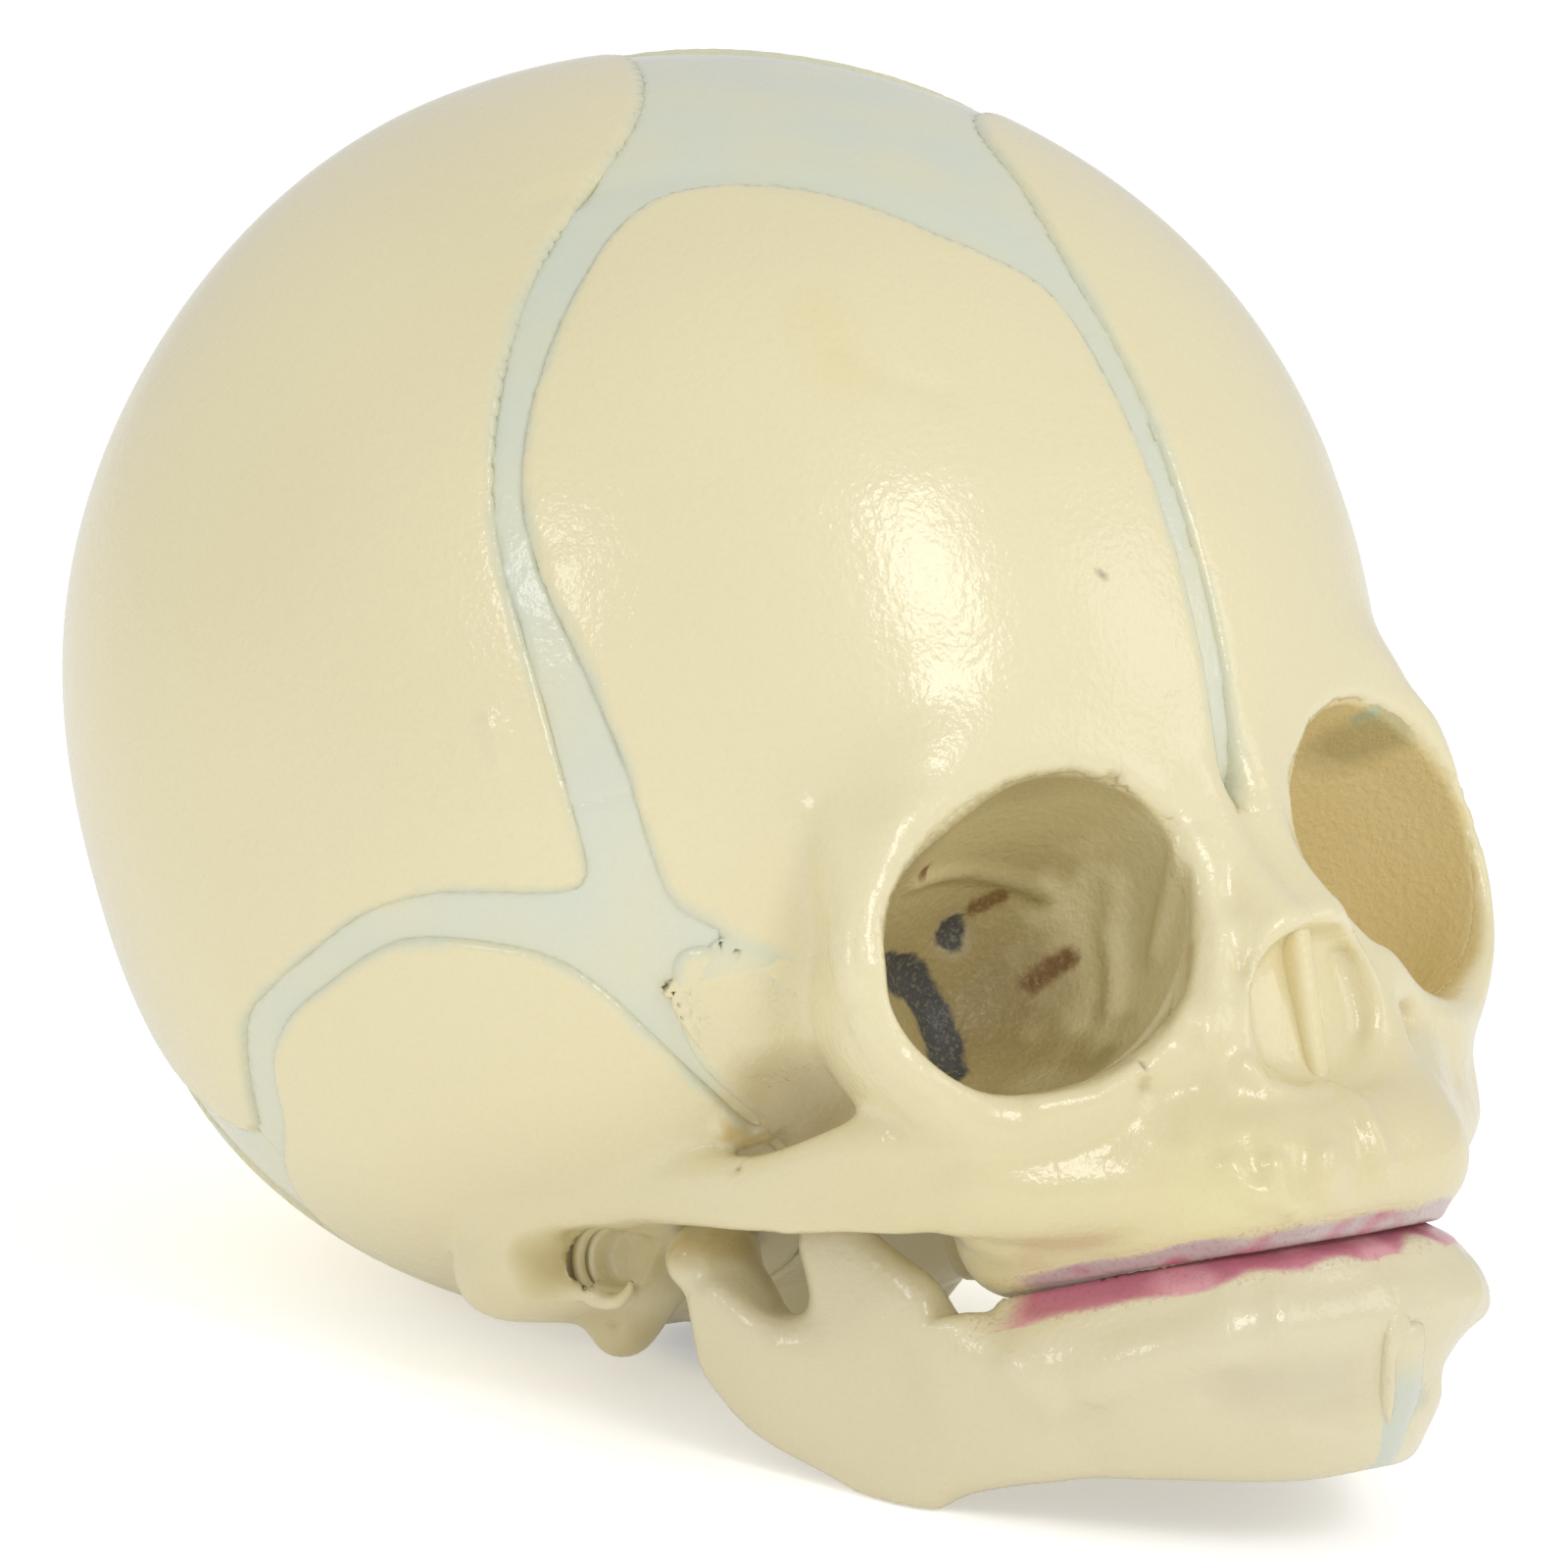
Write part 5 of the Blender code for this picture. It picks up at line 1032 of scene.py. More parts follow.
def maxilla(points, side):
    cheek, nasal, arch = seams_of_face(points, side)
    foot = BITE_CLEARANCE / 2 - above_bite(points)
    band = gum_band(points, UPPER_ARCH_SHARES)
    gum_line = np.minimum(foot + GUM_HEIGHT, np.maximum(foot, GUM_REACH - band))
    middle = -side * points[:, 0]
    return piece_within(face_part(points), middle, cheek, nasal, -brow_side(points), arch, gum_line)


def zygomatic_bone(points, side):
    cheek, _, arch = seams_of_face(points, side)
    return piece_within(face_part(points), -side * points[:, 0], -cheek, -brow_side(points), arch)


def nasal_bone(points, side):
    nasal = seams_of_face(points, side)[1]
    return piece_within(face_part(points), -side * points[:, 0], -nasal, -brow_side(points))


def upper_gum(points, side):
    return gum_ridge(points, upper_skin(points), UPPER_ARCH_SHARES, above_bite(points))


def gum_ridge(points, skin, arch, rise):
    """Edge of a jaw along its arch, from the bite on, which runs a little under the skin of the jaw."""
    foot = BITE_CLEARANCE / 2 - rise
    past = -foot - GUM_HEIGHT
    band = gum_band(points, arch)
    form = smax(sunk(smin(skin, band, GUM_BLEND), past), foot, EDGE_BLEND)
    return largest(form, past - SEAM_OVERLAP, band - GUM_REACH)


def gum_band(points, arch):
    """Distance outside the band that follows the arch of a gum."""
    nearest = np.full(len(points), FAR_AWAY)
    for side in SIDES:
        path = [face_place((x, y, 0.0), side)[:2] for x, y in arch]
        for start, end in zip(path, path[1:]):
            along = end - start
            share = np.clip((points[:, :2] - start) @ along / (along @ along), 0.0, 1.0)
            away = np.linalg.norm(points[:, :2] - start - share[:, None] * along, axis=1)
            nearest = np.minimum(nearest, away)
    return nearest - GUM_HALF_WIDTH


def nasal_septum(points, side):
    plate = np.abs(points[:, 0]) - SEPTUM_THICKNESS / 2
    front = SEPTUM_FRONT - SEPTUM_LEAN * ramp(points[:, 2], NASAL_FLOOR, NASAL_TOP) - points[:, 1]
    bounds = largest(NASAL_FLOOR - SEPTUM_FOOT_LAP - points[:, 2],
                     points[:, 2] - NASAL_TOP - SEPTUM_TOP_LAP,
                     points[:, 1] - NASAL_FRONT - NASAL_DEPTH - SEPTUM_BACK_LAP)
    return smax(np.maximum(bounds, front), plate, SEPTUM_BLEND)


def tympanic_ring(points, side):
    return ring_field(points, side)


def orbit_lining(points, side):
    depth = orbit_spot(points, side)[:, 2]
    wall = smax(orbit_field(points, side, ORBIT_WALL), -orbit_field(points, side), LINING_BLEND)
    return np.maximum(wall, ORBIT_LIP - SEAM_OVERLAP - depth)


def jaw_form(points):
    return JAW_CAST(folded(points))


def jaw_skin(points):
    skin = jaw_form(points)
    for side in SIDES:
        skin = smin(skin, condyle_field(points, side, 0.0), CONDYLE_BLEND)
    bite = above_bite(points) + BITE_CLEARANCE / 2
    before_ramus = -points[:, 1] - FACE_LENGTH * RAMUS_FRONT_SHARE
    return np.maximum(smax(skin, np.minimum(bite, before_ramus), EDGE_BLEND), -above_table(points))


def gum_part(points):
    """How far a point lies below the lower gum."""
    return np.maximum(-BITE_CLEARANCE / 2 - GUM_HEIGHT - above_bite(points),
                      gum_band(points, LOWER_ARCH_SHARES) - GUM_REACH)


def chin_part(points):
    return np.maximum(np.abs(points[:, 0]) - SYMPHYSIS_HALF_WIDTH, points[:, 2] - SYMPHYSIS_TOP)


def mandible(points, side):
    return piece_within(jaw_skin(points), -side * points[:, 0], -gum_part(points), -chin_part(points))


def mandibular_symphysis(points, side):
    return piece_within(jaw_skin(points), chin_part(points))


def lower_gum(points, side):
    return gum_ridge(points, jaw_form(points), LOWER_ARCH_SHARES, -above_bite(points))


# Meshes

def sampled(field, low, counts, step):
    """Values of a field on a grid: in full near its surface, rough elsewhere."""
    blocks = -(-counts // BLOCK)
    centres = grid_of(blocks)
    middle = low + (centres * BLOCK + (BLOCK - 1) / 2) * step
    rough = in_chunks(field, middle)
    values = np.repeat(np.repeat(np.repeat(rough.reshape(blocks), BLOCK, 0), BLOCK, 1), BLOCK, 2)
    near = np.abs(rough) < BLOCK * step * math.sqrt(3) / 2 * BLOCK_REACH
    cells = (centres[near][:, None, :] * BLOCK + grid_of([BLOCK] * 3)[None]).reshape(-1, 3)
    values[tuple(cells.T)] = in_chunks(field, low + cells * step)
    return values[:counts[0], :counts[1], :counts[2]]


def grid_of(counts):
    return np.stack(np.meshgrid(*[np.arange(n) for n in counts], indexing="ij"), -1).reshape(-1, 3)


def in_chunks(field, points):
    return np.concatenate([field(points[i:i + CHUNK]) for i in range(0, len(points), CHUNK)])


def surface_net(values):
    """Quads round the places where a grid of values changes sign."""
    inside = values < 0
    shape = np.array(values.shape) - 1
    count = np.zeros(shape, np.int8)
    for dx in (0, 1):
        for dy in (0, 1):
            for dz in (0, 1):
                count += inside[dx:dx + shape[0], dy:dy + shape[1], dz:dz + shape[2]]
    active = (count > 0) & (count < 8)
    number = np.full(shape, -1)
    number[active] = np.arange(active.sum())
    total = int(active.sum())
    sums = np.zeros((total, 3))
    hits = np.zeros(total)
    quads = []
    for axis in range(3):
        u, v = (axis + 1) % 3, (axis + 2) % 3
        near = [slice(None)] * 3
        far = [slice(None)] * 3
        near[axis] = slice(0, -1)
        far[axis] = slice(1, None)
        edges = np.argwhere(inside[tuple(near)] != inside[tuple(far)])
        ends = edges.copy()
        ends[:, axis] += 1
        start_value = values[tuple(edges.T)]
        end_value = values[tuple(ends.T)]
        spots = edges.astype(float)
        spots[:, axis] += start_value / (start_value - end_value)
        corners = []
        for du, dv in ((0, 0), (-1, 0), (-1, -1), (0, -1)):
            cell = edges.copy()
            cell[:, u] += du
            cell[:, v] += dv
            index = number[tuple(cell.T)]
            corners.append(index)
            hits += np.bincount(index, minlength=total)
            for i in range(3):
                sums[:, i] += np.bincount(index, weights=spots[:, i], minlength=total)
        quad = np.stack(corners, -1)
        flip = start_value >= 0
        quad[flip] = quad[flip][:, ::-1]
        quads.append(quad)
    return sums / hits[:, None], np.concatenate(quads)


def drawn_in(field, points, step):
    """Points pulled onto the surface of a field."""
    for _ in range(PULLS):
        value = in_chunks(field, points)
        slope = np.stack([(in_chunks(field, points + GRADIENT_STEP * axis) - value) / GRADIENT_STEP
                          for axis in np.eye(3)], -1)
        move = -value[:, None] * slope / np.maximum((slope ** 2).sum(1), LEAST_SLOPE)[:, None]
        length = np.linalg.norm(move, axis=1)
        points = points + move * np.minimum(1.0, PULL_SHARE * step / np.maximum(length, 1e-9))[:, None]
    return points


def main_body(points, quads):
    """The mesh without loose crumbs."""
    label = np.arange(len(points))
    while True:
        lowest = label[quads].min(1)
        new = label.copy()
        for i in range(4):
            np.minimum.at(new, quads[:, i], lowest)
        new = new[new]
        if (new == label).all():
            break
        label = new
    main = np.bincount(label[quads[:, 0]]).argmax()
    kept = label[quads[:, 0]] == main
    quads = quads[kept]
    used = np.unique(quads)
    number = np.full(len(points), -1)
    number[used] = np.arange(len(used))
    return points[used], number[quads]


def walled(points):
    """Brain case, forms of the face and the outer wall of the eye socket."""
    form = united(points, vault_field(points), UPPER_HULLS)
    wall = orbit_field(points * (-1, 1, 1), RIGHT, ORBIT_WALL + ORBIT_WALL_SPARE)
    return np.minimum(form, np.maximum(wall, ORBIT_WALL_FRONT - orbit_spot(points, LEFT)[:, 2]))


def alone(hulls):
    return lambda points: united(points, np.full(len(points), FAR), hulls)


UPPER_CAST = Cast(walled, (-5.0, -54.0, -18.0), (41.0, 27.0, 52.0), (CAST_SOFTNESS, FOREHEAD_SOFTNESS))
BASE_CAST = Cast(alone(BASE_HULLS), (-4.0, -22.0, -12.0), (16.0, 22.0, 12.0), (CAST_SOFTNESS,))
JAW_CAST = Cast(alone(JAW_HULLS), (-4.0, -52.0, -32.0), (34.0, 8.0, 6.0), (CAST_SOFTNESS,))


def to_world(points):
    """Level millimetres to metres in the frame."""
    c, s = math.cos(STANCE_PITCH), math.sin(STANCE_PITCH)
    y = points[:, 1] * c + points[:, 2] * s
    z = -points[:, 1] * s + points[:, 2] * c
    return (np.stack([points[:, 0], y, z], -1) + HINGE) * MM


def to_level(corners):
    c, s = math.cos(STANCE_PITCH), math.sin(STANCE_PITCH)
    moved = np.array(corners) / MM - HINGE
    return np.stack([moved[:, 0], moved[:, 1] * c - moved[:, 2] * s, moved[:, 1] * s + moved[:, 2] * c], -1)


def level_box(node):
    """Box of a node in the level frame."""
    data = frame["nodes"][node].data
    flat = np.zeros(len(data.vertices) * 3, np.float32)
    data.vertices.foreach_get("co", flat)
    spots = to_level(flat.reshape(-1, 3))
    return spots.min(0), spots.max(0)


def carve(node, shape, side, step):
    def field(points):
        return shape(points, side) - relief(points)

    low, high = level_box(node)
    low = low - BOX_MARGIN
    counts = np.ceil((high + BOX_MARGIN - low) / step).astype(int) + 1
    values = sampled(field, low, counts, step)
    for axis in range(3):
        edge = [slice(None)] * 3
        for end in (0, -1):
            edge[axis] = end
            values[tuple(edge)] = np.maximum(values[tuple(edge)], step)
    points, quads = surface_net(values)
    points, quads = main_body(low + points * step, quads)
    return drawn_in(field, points, step), quads


def mesh_object(name, points, quads):
    mesh = bpy.data.meshes.new(name)
    mesh.vertices.add(len(points))
    low, high = np.array(CAD_BOUNDS)
    mesh.vertices.foreach_set("co", np.clip(to_world(points), low, high).astype(np.float32).ravel())
    mesh.loops.add(len(quads) * 4)
    mesh.loops.foreach_set("vertex_index", quads.astype(np.int32).ravel())
    mesh.polygons.add(len(quads))
    mesh.polygons.foreach_set("loop_start", np.arange(0, len(quads) * 4, 4, dtype=np.int32))
    mesh.update(calc_edges=True)
    mesh.shade_smooth()
    obj = bpy.data.objects.new(name, mesh)
    bpy.context.scene.collection.objects.link(obj)
    return obj


# Marks, placed where the photograph shows them

def camera_axes():
    """Right, up and back of the camera in the level frame."""
    turn, rise, roll = CAMERA_TURN, CAMERA_RISE, CAMERA_ROLL
    back = np.array([math.sin(turn) * math.cos(rise), -math.cos(turn) * math.cos(rise), math.sin(rise)])
    flat = np.array([math.cos(turn), math.sin(turn), 0.0])
    steep = np.cross(back, flat)
    right = math.cos(roll) * flat + math.sin(roll) * steep
    return right, math.cos(roll) * steep - math.sin(roll) * flat, back


CAMERA_RIGHT, CAMERA_UP, CAMERA_BACK = camera_axes()
CAMERA_PLACE = (CAMERA_AIM + CAMERA_BACK * CAMERA_DISTANCE + CAMERA_RIGHT * CAMERA_SHIFT_RIGHT
                + CAMERA_UP * CAMERA_SHIFT_UP)


def sight(px, py):
    """Direction in which the camera sees a pixel of the frame."""
    middle = FRAME_PIXELS / 2
    return unit(CAMERA_RIGHT * (px - middle) - CAMERA_UP * (py - middle)
                - CAMERA_BACK * CAMERA_FOCUS_PIXELS)


def seen_skin(points):
    """Skin of the whole skull as the camera sees it."""
    vault = vault_field(points)
    skin = smax(upper_skin(points, vault), -nasal_field(points), EDGE_BLEND)
    for side in SIDES:
        skin = np.maximum(skin, -orbit_field(points, side))
    return np.minimum(skin, jaw_skin(points))


def places_of(pixels):
    """Level places on the skin under some pixels of the frame."""
    aims = np.array([sight(px, py) for px, py in pixels])
    reach = np.full(len(aims), CAMERA_DISTANCE - SIGHT_MARGIN)
    for _ in range(SIGHT_STEPS):
        gap = seen_skin(CAMERA_PLACE + aims * reach[:, None])
        reach += np.clip(gap, 0.0, SIGHT_STRIDE) * SIGHT_CAUTION
    return CAMERA_PLACE + aims * reach[:, None]


def path_distance(points, path):
    """Distance from a path of places, for the points near it, and where they are."""
    low = path.min(0) - MARK_REACH
    high = path.max(0) + MARK_REACH
    near = np.flatnonzero(((points > low) & (points < high)).all(1))
    spots = points[near]
    nearest = np.linalg.norm(spots - path[0], axis=1)
    for start, end in zip(path, path[1:]):
        along = end - start
        share = np.clip((spots - start) @ along / (along @ along), 0.0, 1.0)
        nearest = np.minimum(nearest, np.linalg.norm(spots - start - share[:, None] * along, axis=1))
    return near, nearest


def waves(points, length, seed):
    """Smooth uneven pattern between about -1 and 1."""
    turns = np.random.default_rng(seed).normal(size=(WAVE_COUNT, 3))
    turns *= 2 * math.pi / length / np.linalg.norm(turns, axis=1)[:, None]
    shifts = np.random.default_rng(seed + 1).uniform(0, 2 * math.pi, WAVE_COUNT)
    return np.sin(points @ turns.T + shifts).sum(1) / WAVE_SPREAD


# Relief: pixels of a path, half width, height (below zero a dent)
RELIEFS = [
    ([(971, 952)], 1.2, -0.6),
    ([(918, 990), (934, 1000), (950, 1032), (962, 1062), (968, 1086)], 1.2, -0.6),
    ([(932, 902), (992, 890), (1040, 900), (1065, 911)], 0.7, 0.7),
    ([(1139, 906), (1133, 950), (1136, 1030)], 1.0, 0.6),
    ([(1203, 870), (1192, 920), (1180, 971)], 0.9, 0.7),
    ([(1225, 860), (1222, 960), (1205, 1040)], 1.2, 0.5),
    ([(1095, 788)], 0.5, -0.6),
    ([(1141, 795)], 0.6, -0.6),
    ([(1173, 1108)], 0.9, -1.0),
    ([(1435, 1033)], 0.9, -0.9),
    ([(1168, 1085)], 0.35, -0.6),
    ([(1342, 1028)], 0.35, -0.5),
    ([(751, 1191)], 0.4, -0.8),
    ([(628, 1355)], 0.4, -0.8),
    ([(1271, 1090), (1290, 1110), (1327, 1118), (1360, 1113), (1387, 1127), (1396, 1145)], 0.8, 0.9),
    ([(1257, 1190), (1266, 1208), (1288, 1221)], 0.9, 0.75),
    ([(1300, 1188), (1305, 1212), (1315, 1230)], 0.8, 0.7),
    ([(1352, 1180), (1350, 1208)], 1.2, 0.6),
    ([(1407, 1165), (1413, 1192)], 1.1, 0.5),
    ([(1276, 1170), (1282, 1196)], 1.3, -0.5),
    ([(1330, 1150), (1330, 1210)], 1.6, -0.6),
    ([(1384, 1150), (1388, 1205)], 1.4, -0.5),
    ([(1238, 880), (1244, 980), (1232, 1060)], 0.8, 0.45),
    ([(1210, 1060), (1190, 1110), (1195, 1150)], 1.3, -0.5),
    ([(1404, 1318), (1426, 1360)], 1.8, 0.5),
    ([(1450, 1372), (1440, 1412)], 2.8, 0.9),
    ([(1036, 1398), (1055, 1412), (1074, 1434)], 1.6, 0.8),
    ([(1118, 1417), (1160, 1390), (1214, 1374)], 2.0, 0.8),
    ([(1250, 1340), (1250, 1380)], 1.6, 0.5),
    ([(1304, 1326), (1308, 1352)], 1.3, 0.5),
    ([(1268, 1425), (1320, 1420), (1375, 1415)], 3.4, -1.0),
    ([(1110, 1450), (1112, 1490)], 2.2, -0.6),
    ([(1321, 1455), (1380, 1462)], 1.8, 0.5),
    ([(1123, 1439), (1124, 1467)], 0.3, -0.5),
    ([(742, 1150), (762, 1160), (780, 1156)], 0.9, 0.9),
    ([(735, 1318), (775, 1350)], 1.2, 0.6),
    ([(845, 845), (860, 920), (872, 985)], 2.2, 0.8),
    ([(880, 1040), (905, 1080), (945, 1110)], 1.0, 0.6),
    ([(1060, 1128), (1120, 1118), (1160, 1092)], 0.9, 0.5),
    ([(500, 740), (512, 770)], 0.8, 0.5),
    ([(575, 1292), (610, 1278), (650, 1285)], 1.8, -1.4),
    ([(600, 1322), (640, 1320)], 0.8, 0.5),
    ([(752, 1000), (764, 1050)], 4.5, 1.3),
    ([(1000, 1200), (1060, 1240)], 3.0, 0.3),
    ([(560, 200), (700, 175), (850, 190), (960, 230)], 1.6, -0.3),
    ([(860, 350), (900, 380), (960, 400)], 1.1, -0.2),
]

# Paint: kind of piece, pixels of a path, half width, how soft its edge is, colour, strength
PAINTS = [
    ("socket", [(960, 870), (1010, 840), (1100, 830), (1150, 850)], 5.0, 6.0, (226, 211, 158), 0.8),
    ("socket", [(1000, 1040), (1040, 1010)], 4.5, 4.0, (150, 130, 84), 0.5),
    ("socket", [(1190, 880), (1190, 960), (1180, 1030)], 3.6, 3.0, (222, 210, 164), 0.9),
    ("socket", [(1060, 1105), (1120, 1095), (1160, 1060)], 2.2, 2.0, (214, 200, 156), 0.85),
    ("socket", [(971, 952)], 1.9, 0.5, (190, 176, 140), 0.9),
    ("socket", [(971, 952)], 1.4, 0.2, (86, 87, 88), 1.0),
    ("socket", [(906, 988), (934, 1000), (950, 1032), (962, 1062), (968, 1086)], 1.5, 0.2,
     (86, 88, 90), 1.0),
    ("socket", [(995, 926), (1020, 915)], 0.7, 0.4, (126, 96, 52), 0.9),
    ("socket", [(1052, 1003), (1072, 988), (1090, 978)], 0.8, 0.4, (126, 94, 52), 0.9),
    ("socket", [(942, 889)], 0.6, 0.3, (126, 92, 50), 0.9),
    ("socket", [(940, 901), (992, 890), (1060, 909)], 0.45, 0.4, (196, 182, 140), 0.7),
    # Darker paint at the top of the left eye socket: painted shade under the brow
    ("socket", [(1375, 760), (1420, 740)], 3.0, 3.0, (182, 170, 118), 0.8),
    ("socket", [(1388, 732), (1400, 728)], 0.8, 0.7, (170, 184, 158), 0.7),
    ("bone", [(1095, 788)], 0.5, 0.2, (120, 100, 66), 0.9),
    ("bone", [(1141, 795)], 0.6, 0.2, (120, 100, 66), 0.9),
    ("bone", [(1168, 1085)], 0.3, 0.15, (90, 80, 62), 0.9),
    ("bone", [(1342, 1028)], 0.3, 0.15, (90, 80, 62), 0.9),
    ("bone", [(1173, 1108)], 0.7, 0.5, (176, 160, 116), 0.7),
    ("bone", [(1435, 1033)], 0.7, 0.5, (186, 168, 118), 0.6),
    ("bone", [(751, 1191)], 0.35, 0.15, (120, 74, 40), 0.9),
    ("bone", [(628, 1355)], 0.35, 0.15, (70, 60, 46), 0.9),
    ("bone", [(1123, 1439), (1124, 1467)], 0.2, 0.15, (130, 110, 76), 0.8),
    ("bone", [(1126, 588)], 0.2, 0.12, (110, 100, 80), 0.8),
    ("bone", [(574, 868)], 0.14, 0.1, (190, 60, 40), 0.9),
    ("bone", [(560, 1290), (610, 1284), (650, 1290)], 2.2, 2.2, (186, 166, 106), 0.8),
    ("bone", [(604, 1350), (640, 1375)], 2.5, 2.5, (200, 184, 136), 0.6),
    ("bone", [(690, 1276), (720, 1274), (760, 1270)], 1.2, 1.4, (190, 168, 110), 0.7),
    ("bone", [(940, 1290), (975, 1285)], 2.4, 2.0, (202, 174, 98), 0.8),
    # Darker tone in the hollow of the temple: painted shade
    ("bone", [(790, 1110), (820, 1150)], 3.6, 3.4, (206, 190, 148), 0.75),
    ("bone", [(742, 1150), (762, 1160), (780, 1156)], 0.8, 0.5, (206, 172, 92), 0.8),
    ("bone", [(1268, 1425), (1320, 1420), (1375, 1415)], 1.6, 3.0, (200, 190, 162), 0.4),
    ("membrane", [(772, 1146), (800, 1190)], 4.5, 3.0, (226, 214, 172), 1.0),
    ("bone", [(1434, 1425), (1428, 1500)], 1.3, 1.3, (196, 208, 202), 0.7),
    ("bone", [(1255, 1205), (1290, 1225)], 4.5, 4.0, (238, 228, 166), 0.3),
    ("bone", [(1180, 1250), (1230, 1240)], 3.5, 3.0, (240, 228, 166), 0.25),
    ("bone", [(835, 320), (860, 380)], 2.0, 3.5, (236, 218, 150), 0.25),
]


def paths_of(table, pixel_column):
    """The pixel paths of a table as level places."""
    counts = [len(row[pixel_column]) for row in table]
    places = places_of([pixel for row in table for pixel in row[pixel_column]])
    ends = np.cumsum(counts)
    return [places[end - count:end] for end, count in zip(ends, counts)]


RELIEF_PATHS = paths_of(RELIEFS, 0)
PAINT_PATHS = paths_of(PAINTS, 1)


def relief(points):
    """Height of the small forms over the skin."""
    height = np.zeros(len(points))
    for (_, width, rise), path in zip(RELIEFS, RELIEF_PATHS):
        near, away = path_distance(points, path)
        height[near] += rise * np.exp(-(away / width) ** 2)
    return height


# Paints, in screen values
BONE = np.array([238.0, 227.0, 184.0])
# The temporal, jaw and cheek tones are darker than BONE, partly their own greyer paint and partly painted shade of
# the lower skull, which gets less light
TEMPORAL_BONE_AND_SHADE = np.array([224.0, 213.0, 172.0])
JAW_BONE_AND_SHADE = np.array([226.0, 216.0, 180.0])
CHEEK_BONE_AND_SHADE = np.array([229.0, 216.0, 170.0])
MEMBRANE = np.array([214.0, 223.0, 209.0])
SIDE_MEMBRANE = np.array([218.0, 224.0, 210.0])
SOCKET_TONES = {RIGHT: np.array([188.0, 172.0, 121.0]), LEFT: np.array([226.0, 207.0, 150.0])}
NOSE_INSIDE = np.array([238.0, 225.0, 178.0])
UPPER_GUM = np.array([200.0, 182.0, 178.0])
LOWER_GUM = np.array([198.0, 118.0, 134.0])
LIGHT_GUM = np.array([222.0, 158.0, 166.0])
CHIN_PATCH = np.array([208.0, 212.0, 196.0])
OVERSPRAY = np.array([214.0, 220.0, 200.0])

# Where a paint fades in: the measure at which it starts and at which it covers
# Below this height the bones darken towards the bottom, in part as painted shade
LOW_SHADE_FADE = (14.0, 0.0)
TEMPORAL_FADE = (-20.0, 0.0)
CHEEK_FADE = (-10.0, -25.0)
OVERSPRAY_EDGE_FADE = (-0.9, 0.0)
OVERSPRAY_SKIN_FADE = (1.4, 0.6)
NOSE_FADE = (0.4, -0.1)
SOCKET_MOUTH_FADE = (0.2, -0.05)
SOCKET_DEPTH_FADE = (-1.4, -0.6)
SOCKET_RIM_FADE = (0.4, 0.8)
SIDE_MEMBRANE_FADE = (60.0, 40.0)
CHIN_FADE = (-21.0, -18.5)
UPPER_GUM_FADE = (1.5, 1.85)
UPPER_GUM_END = (-27.0, -25.0)
LOWER_GUM_FADE = (1.25, 1.6)
LOWER_GUM_END = (-26.0, -24.0)

# How far one paint covers another
OVERSPRAY_SHARE = 0.75
MEMBRANE_BARE_SHARE = 0.32
GUM_FLUSH_SHARE = 0.9
GUM_FLUSH_START = 0.5

# Cream that runs into the socket: its edge, how that recedes with depth, its softness and cover
MEDIAL_EDGE = 10.6
MEDIAL_SLOPE = 0.28
MEDIAL_SOFTNESS = 2.5
MEDIAL_SHARES = {RIGHT: 0.9, LEFT: 0.5}

# Uneven edges of the paints: height, length and seed of the waves
OVERSPRAY_WAVES = (0.25, 5.0, 5)
SOCKET_MOUTH_WAVES = (0.08, 2.0, 7)
SOCKET_DEPTH_WAVES = (0.3, 3.3, 9)
MEDIAL_WAVES = (0.8, 3.0, 19)
MEMBRANE_WAVES = (0.14, 9.0, 21)
BLOTCH_WAVES = (0.004, 23.0, 3)
GUM_STREAKS = (7.0, 11)
GUM_FLUSHES = (3.4, 13)
UPPER_GUM_UNEVENNESS = 0.3
LOWER_GUM_UNEVENNESS = 0.4
MARK_WAVES = (0.13, 1.6, 17)
MARK_WAVE_LEAST = 1.2


def uneven(points, height, length, seed):
    return height * waves(points, length, seed)


def mixed(colours, tone, share):
    return colours + np.clip(share, 0.0, 1.0)[:, None] * (tone - colours)


def side_of(name):
    return LEFT if name.endswith("left") else RIGHT


def socket_paint_share(points, side):
    """How much of the socket's paint lies on a point of the bones round it."""
    mouth = orbit_field(points, side) + uneven(points, *SOCKET_MOUTH_WAVES)
    depth = orbit_spot(raised(points), side)[:, 2] + uneven(points, *SOCKET_DEPTH_WAVES)
    return ramp(mouth, *SOCKET_MOUTH_FADE) * ramp(depth, *SOCKET_DEPTH_FADE)


def medial_share(points, side):
    """Cream that runs into the socket from the nose side."""
    spot = orbit_spot(raised(points), side)
    edge = spot[:, 0] + MEDIAL_EDGE - MEDIAL_SLOPE * np.maximum(spot[:, 2], 0.0)
    edge = edge + uneven(points, *MEDIAL_WAVES)
    return ramp(edge, 0.0, -MEDIAL_SOFTNESS) * MEDIAL_SHARES[side]


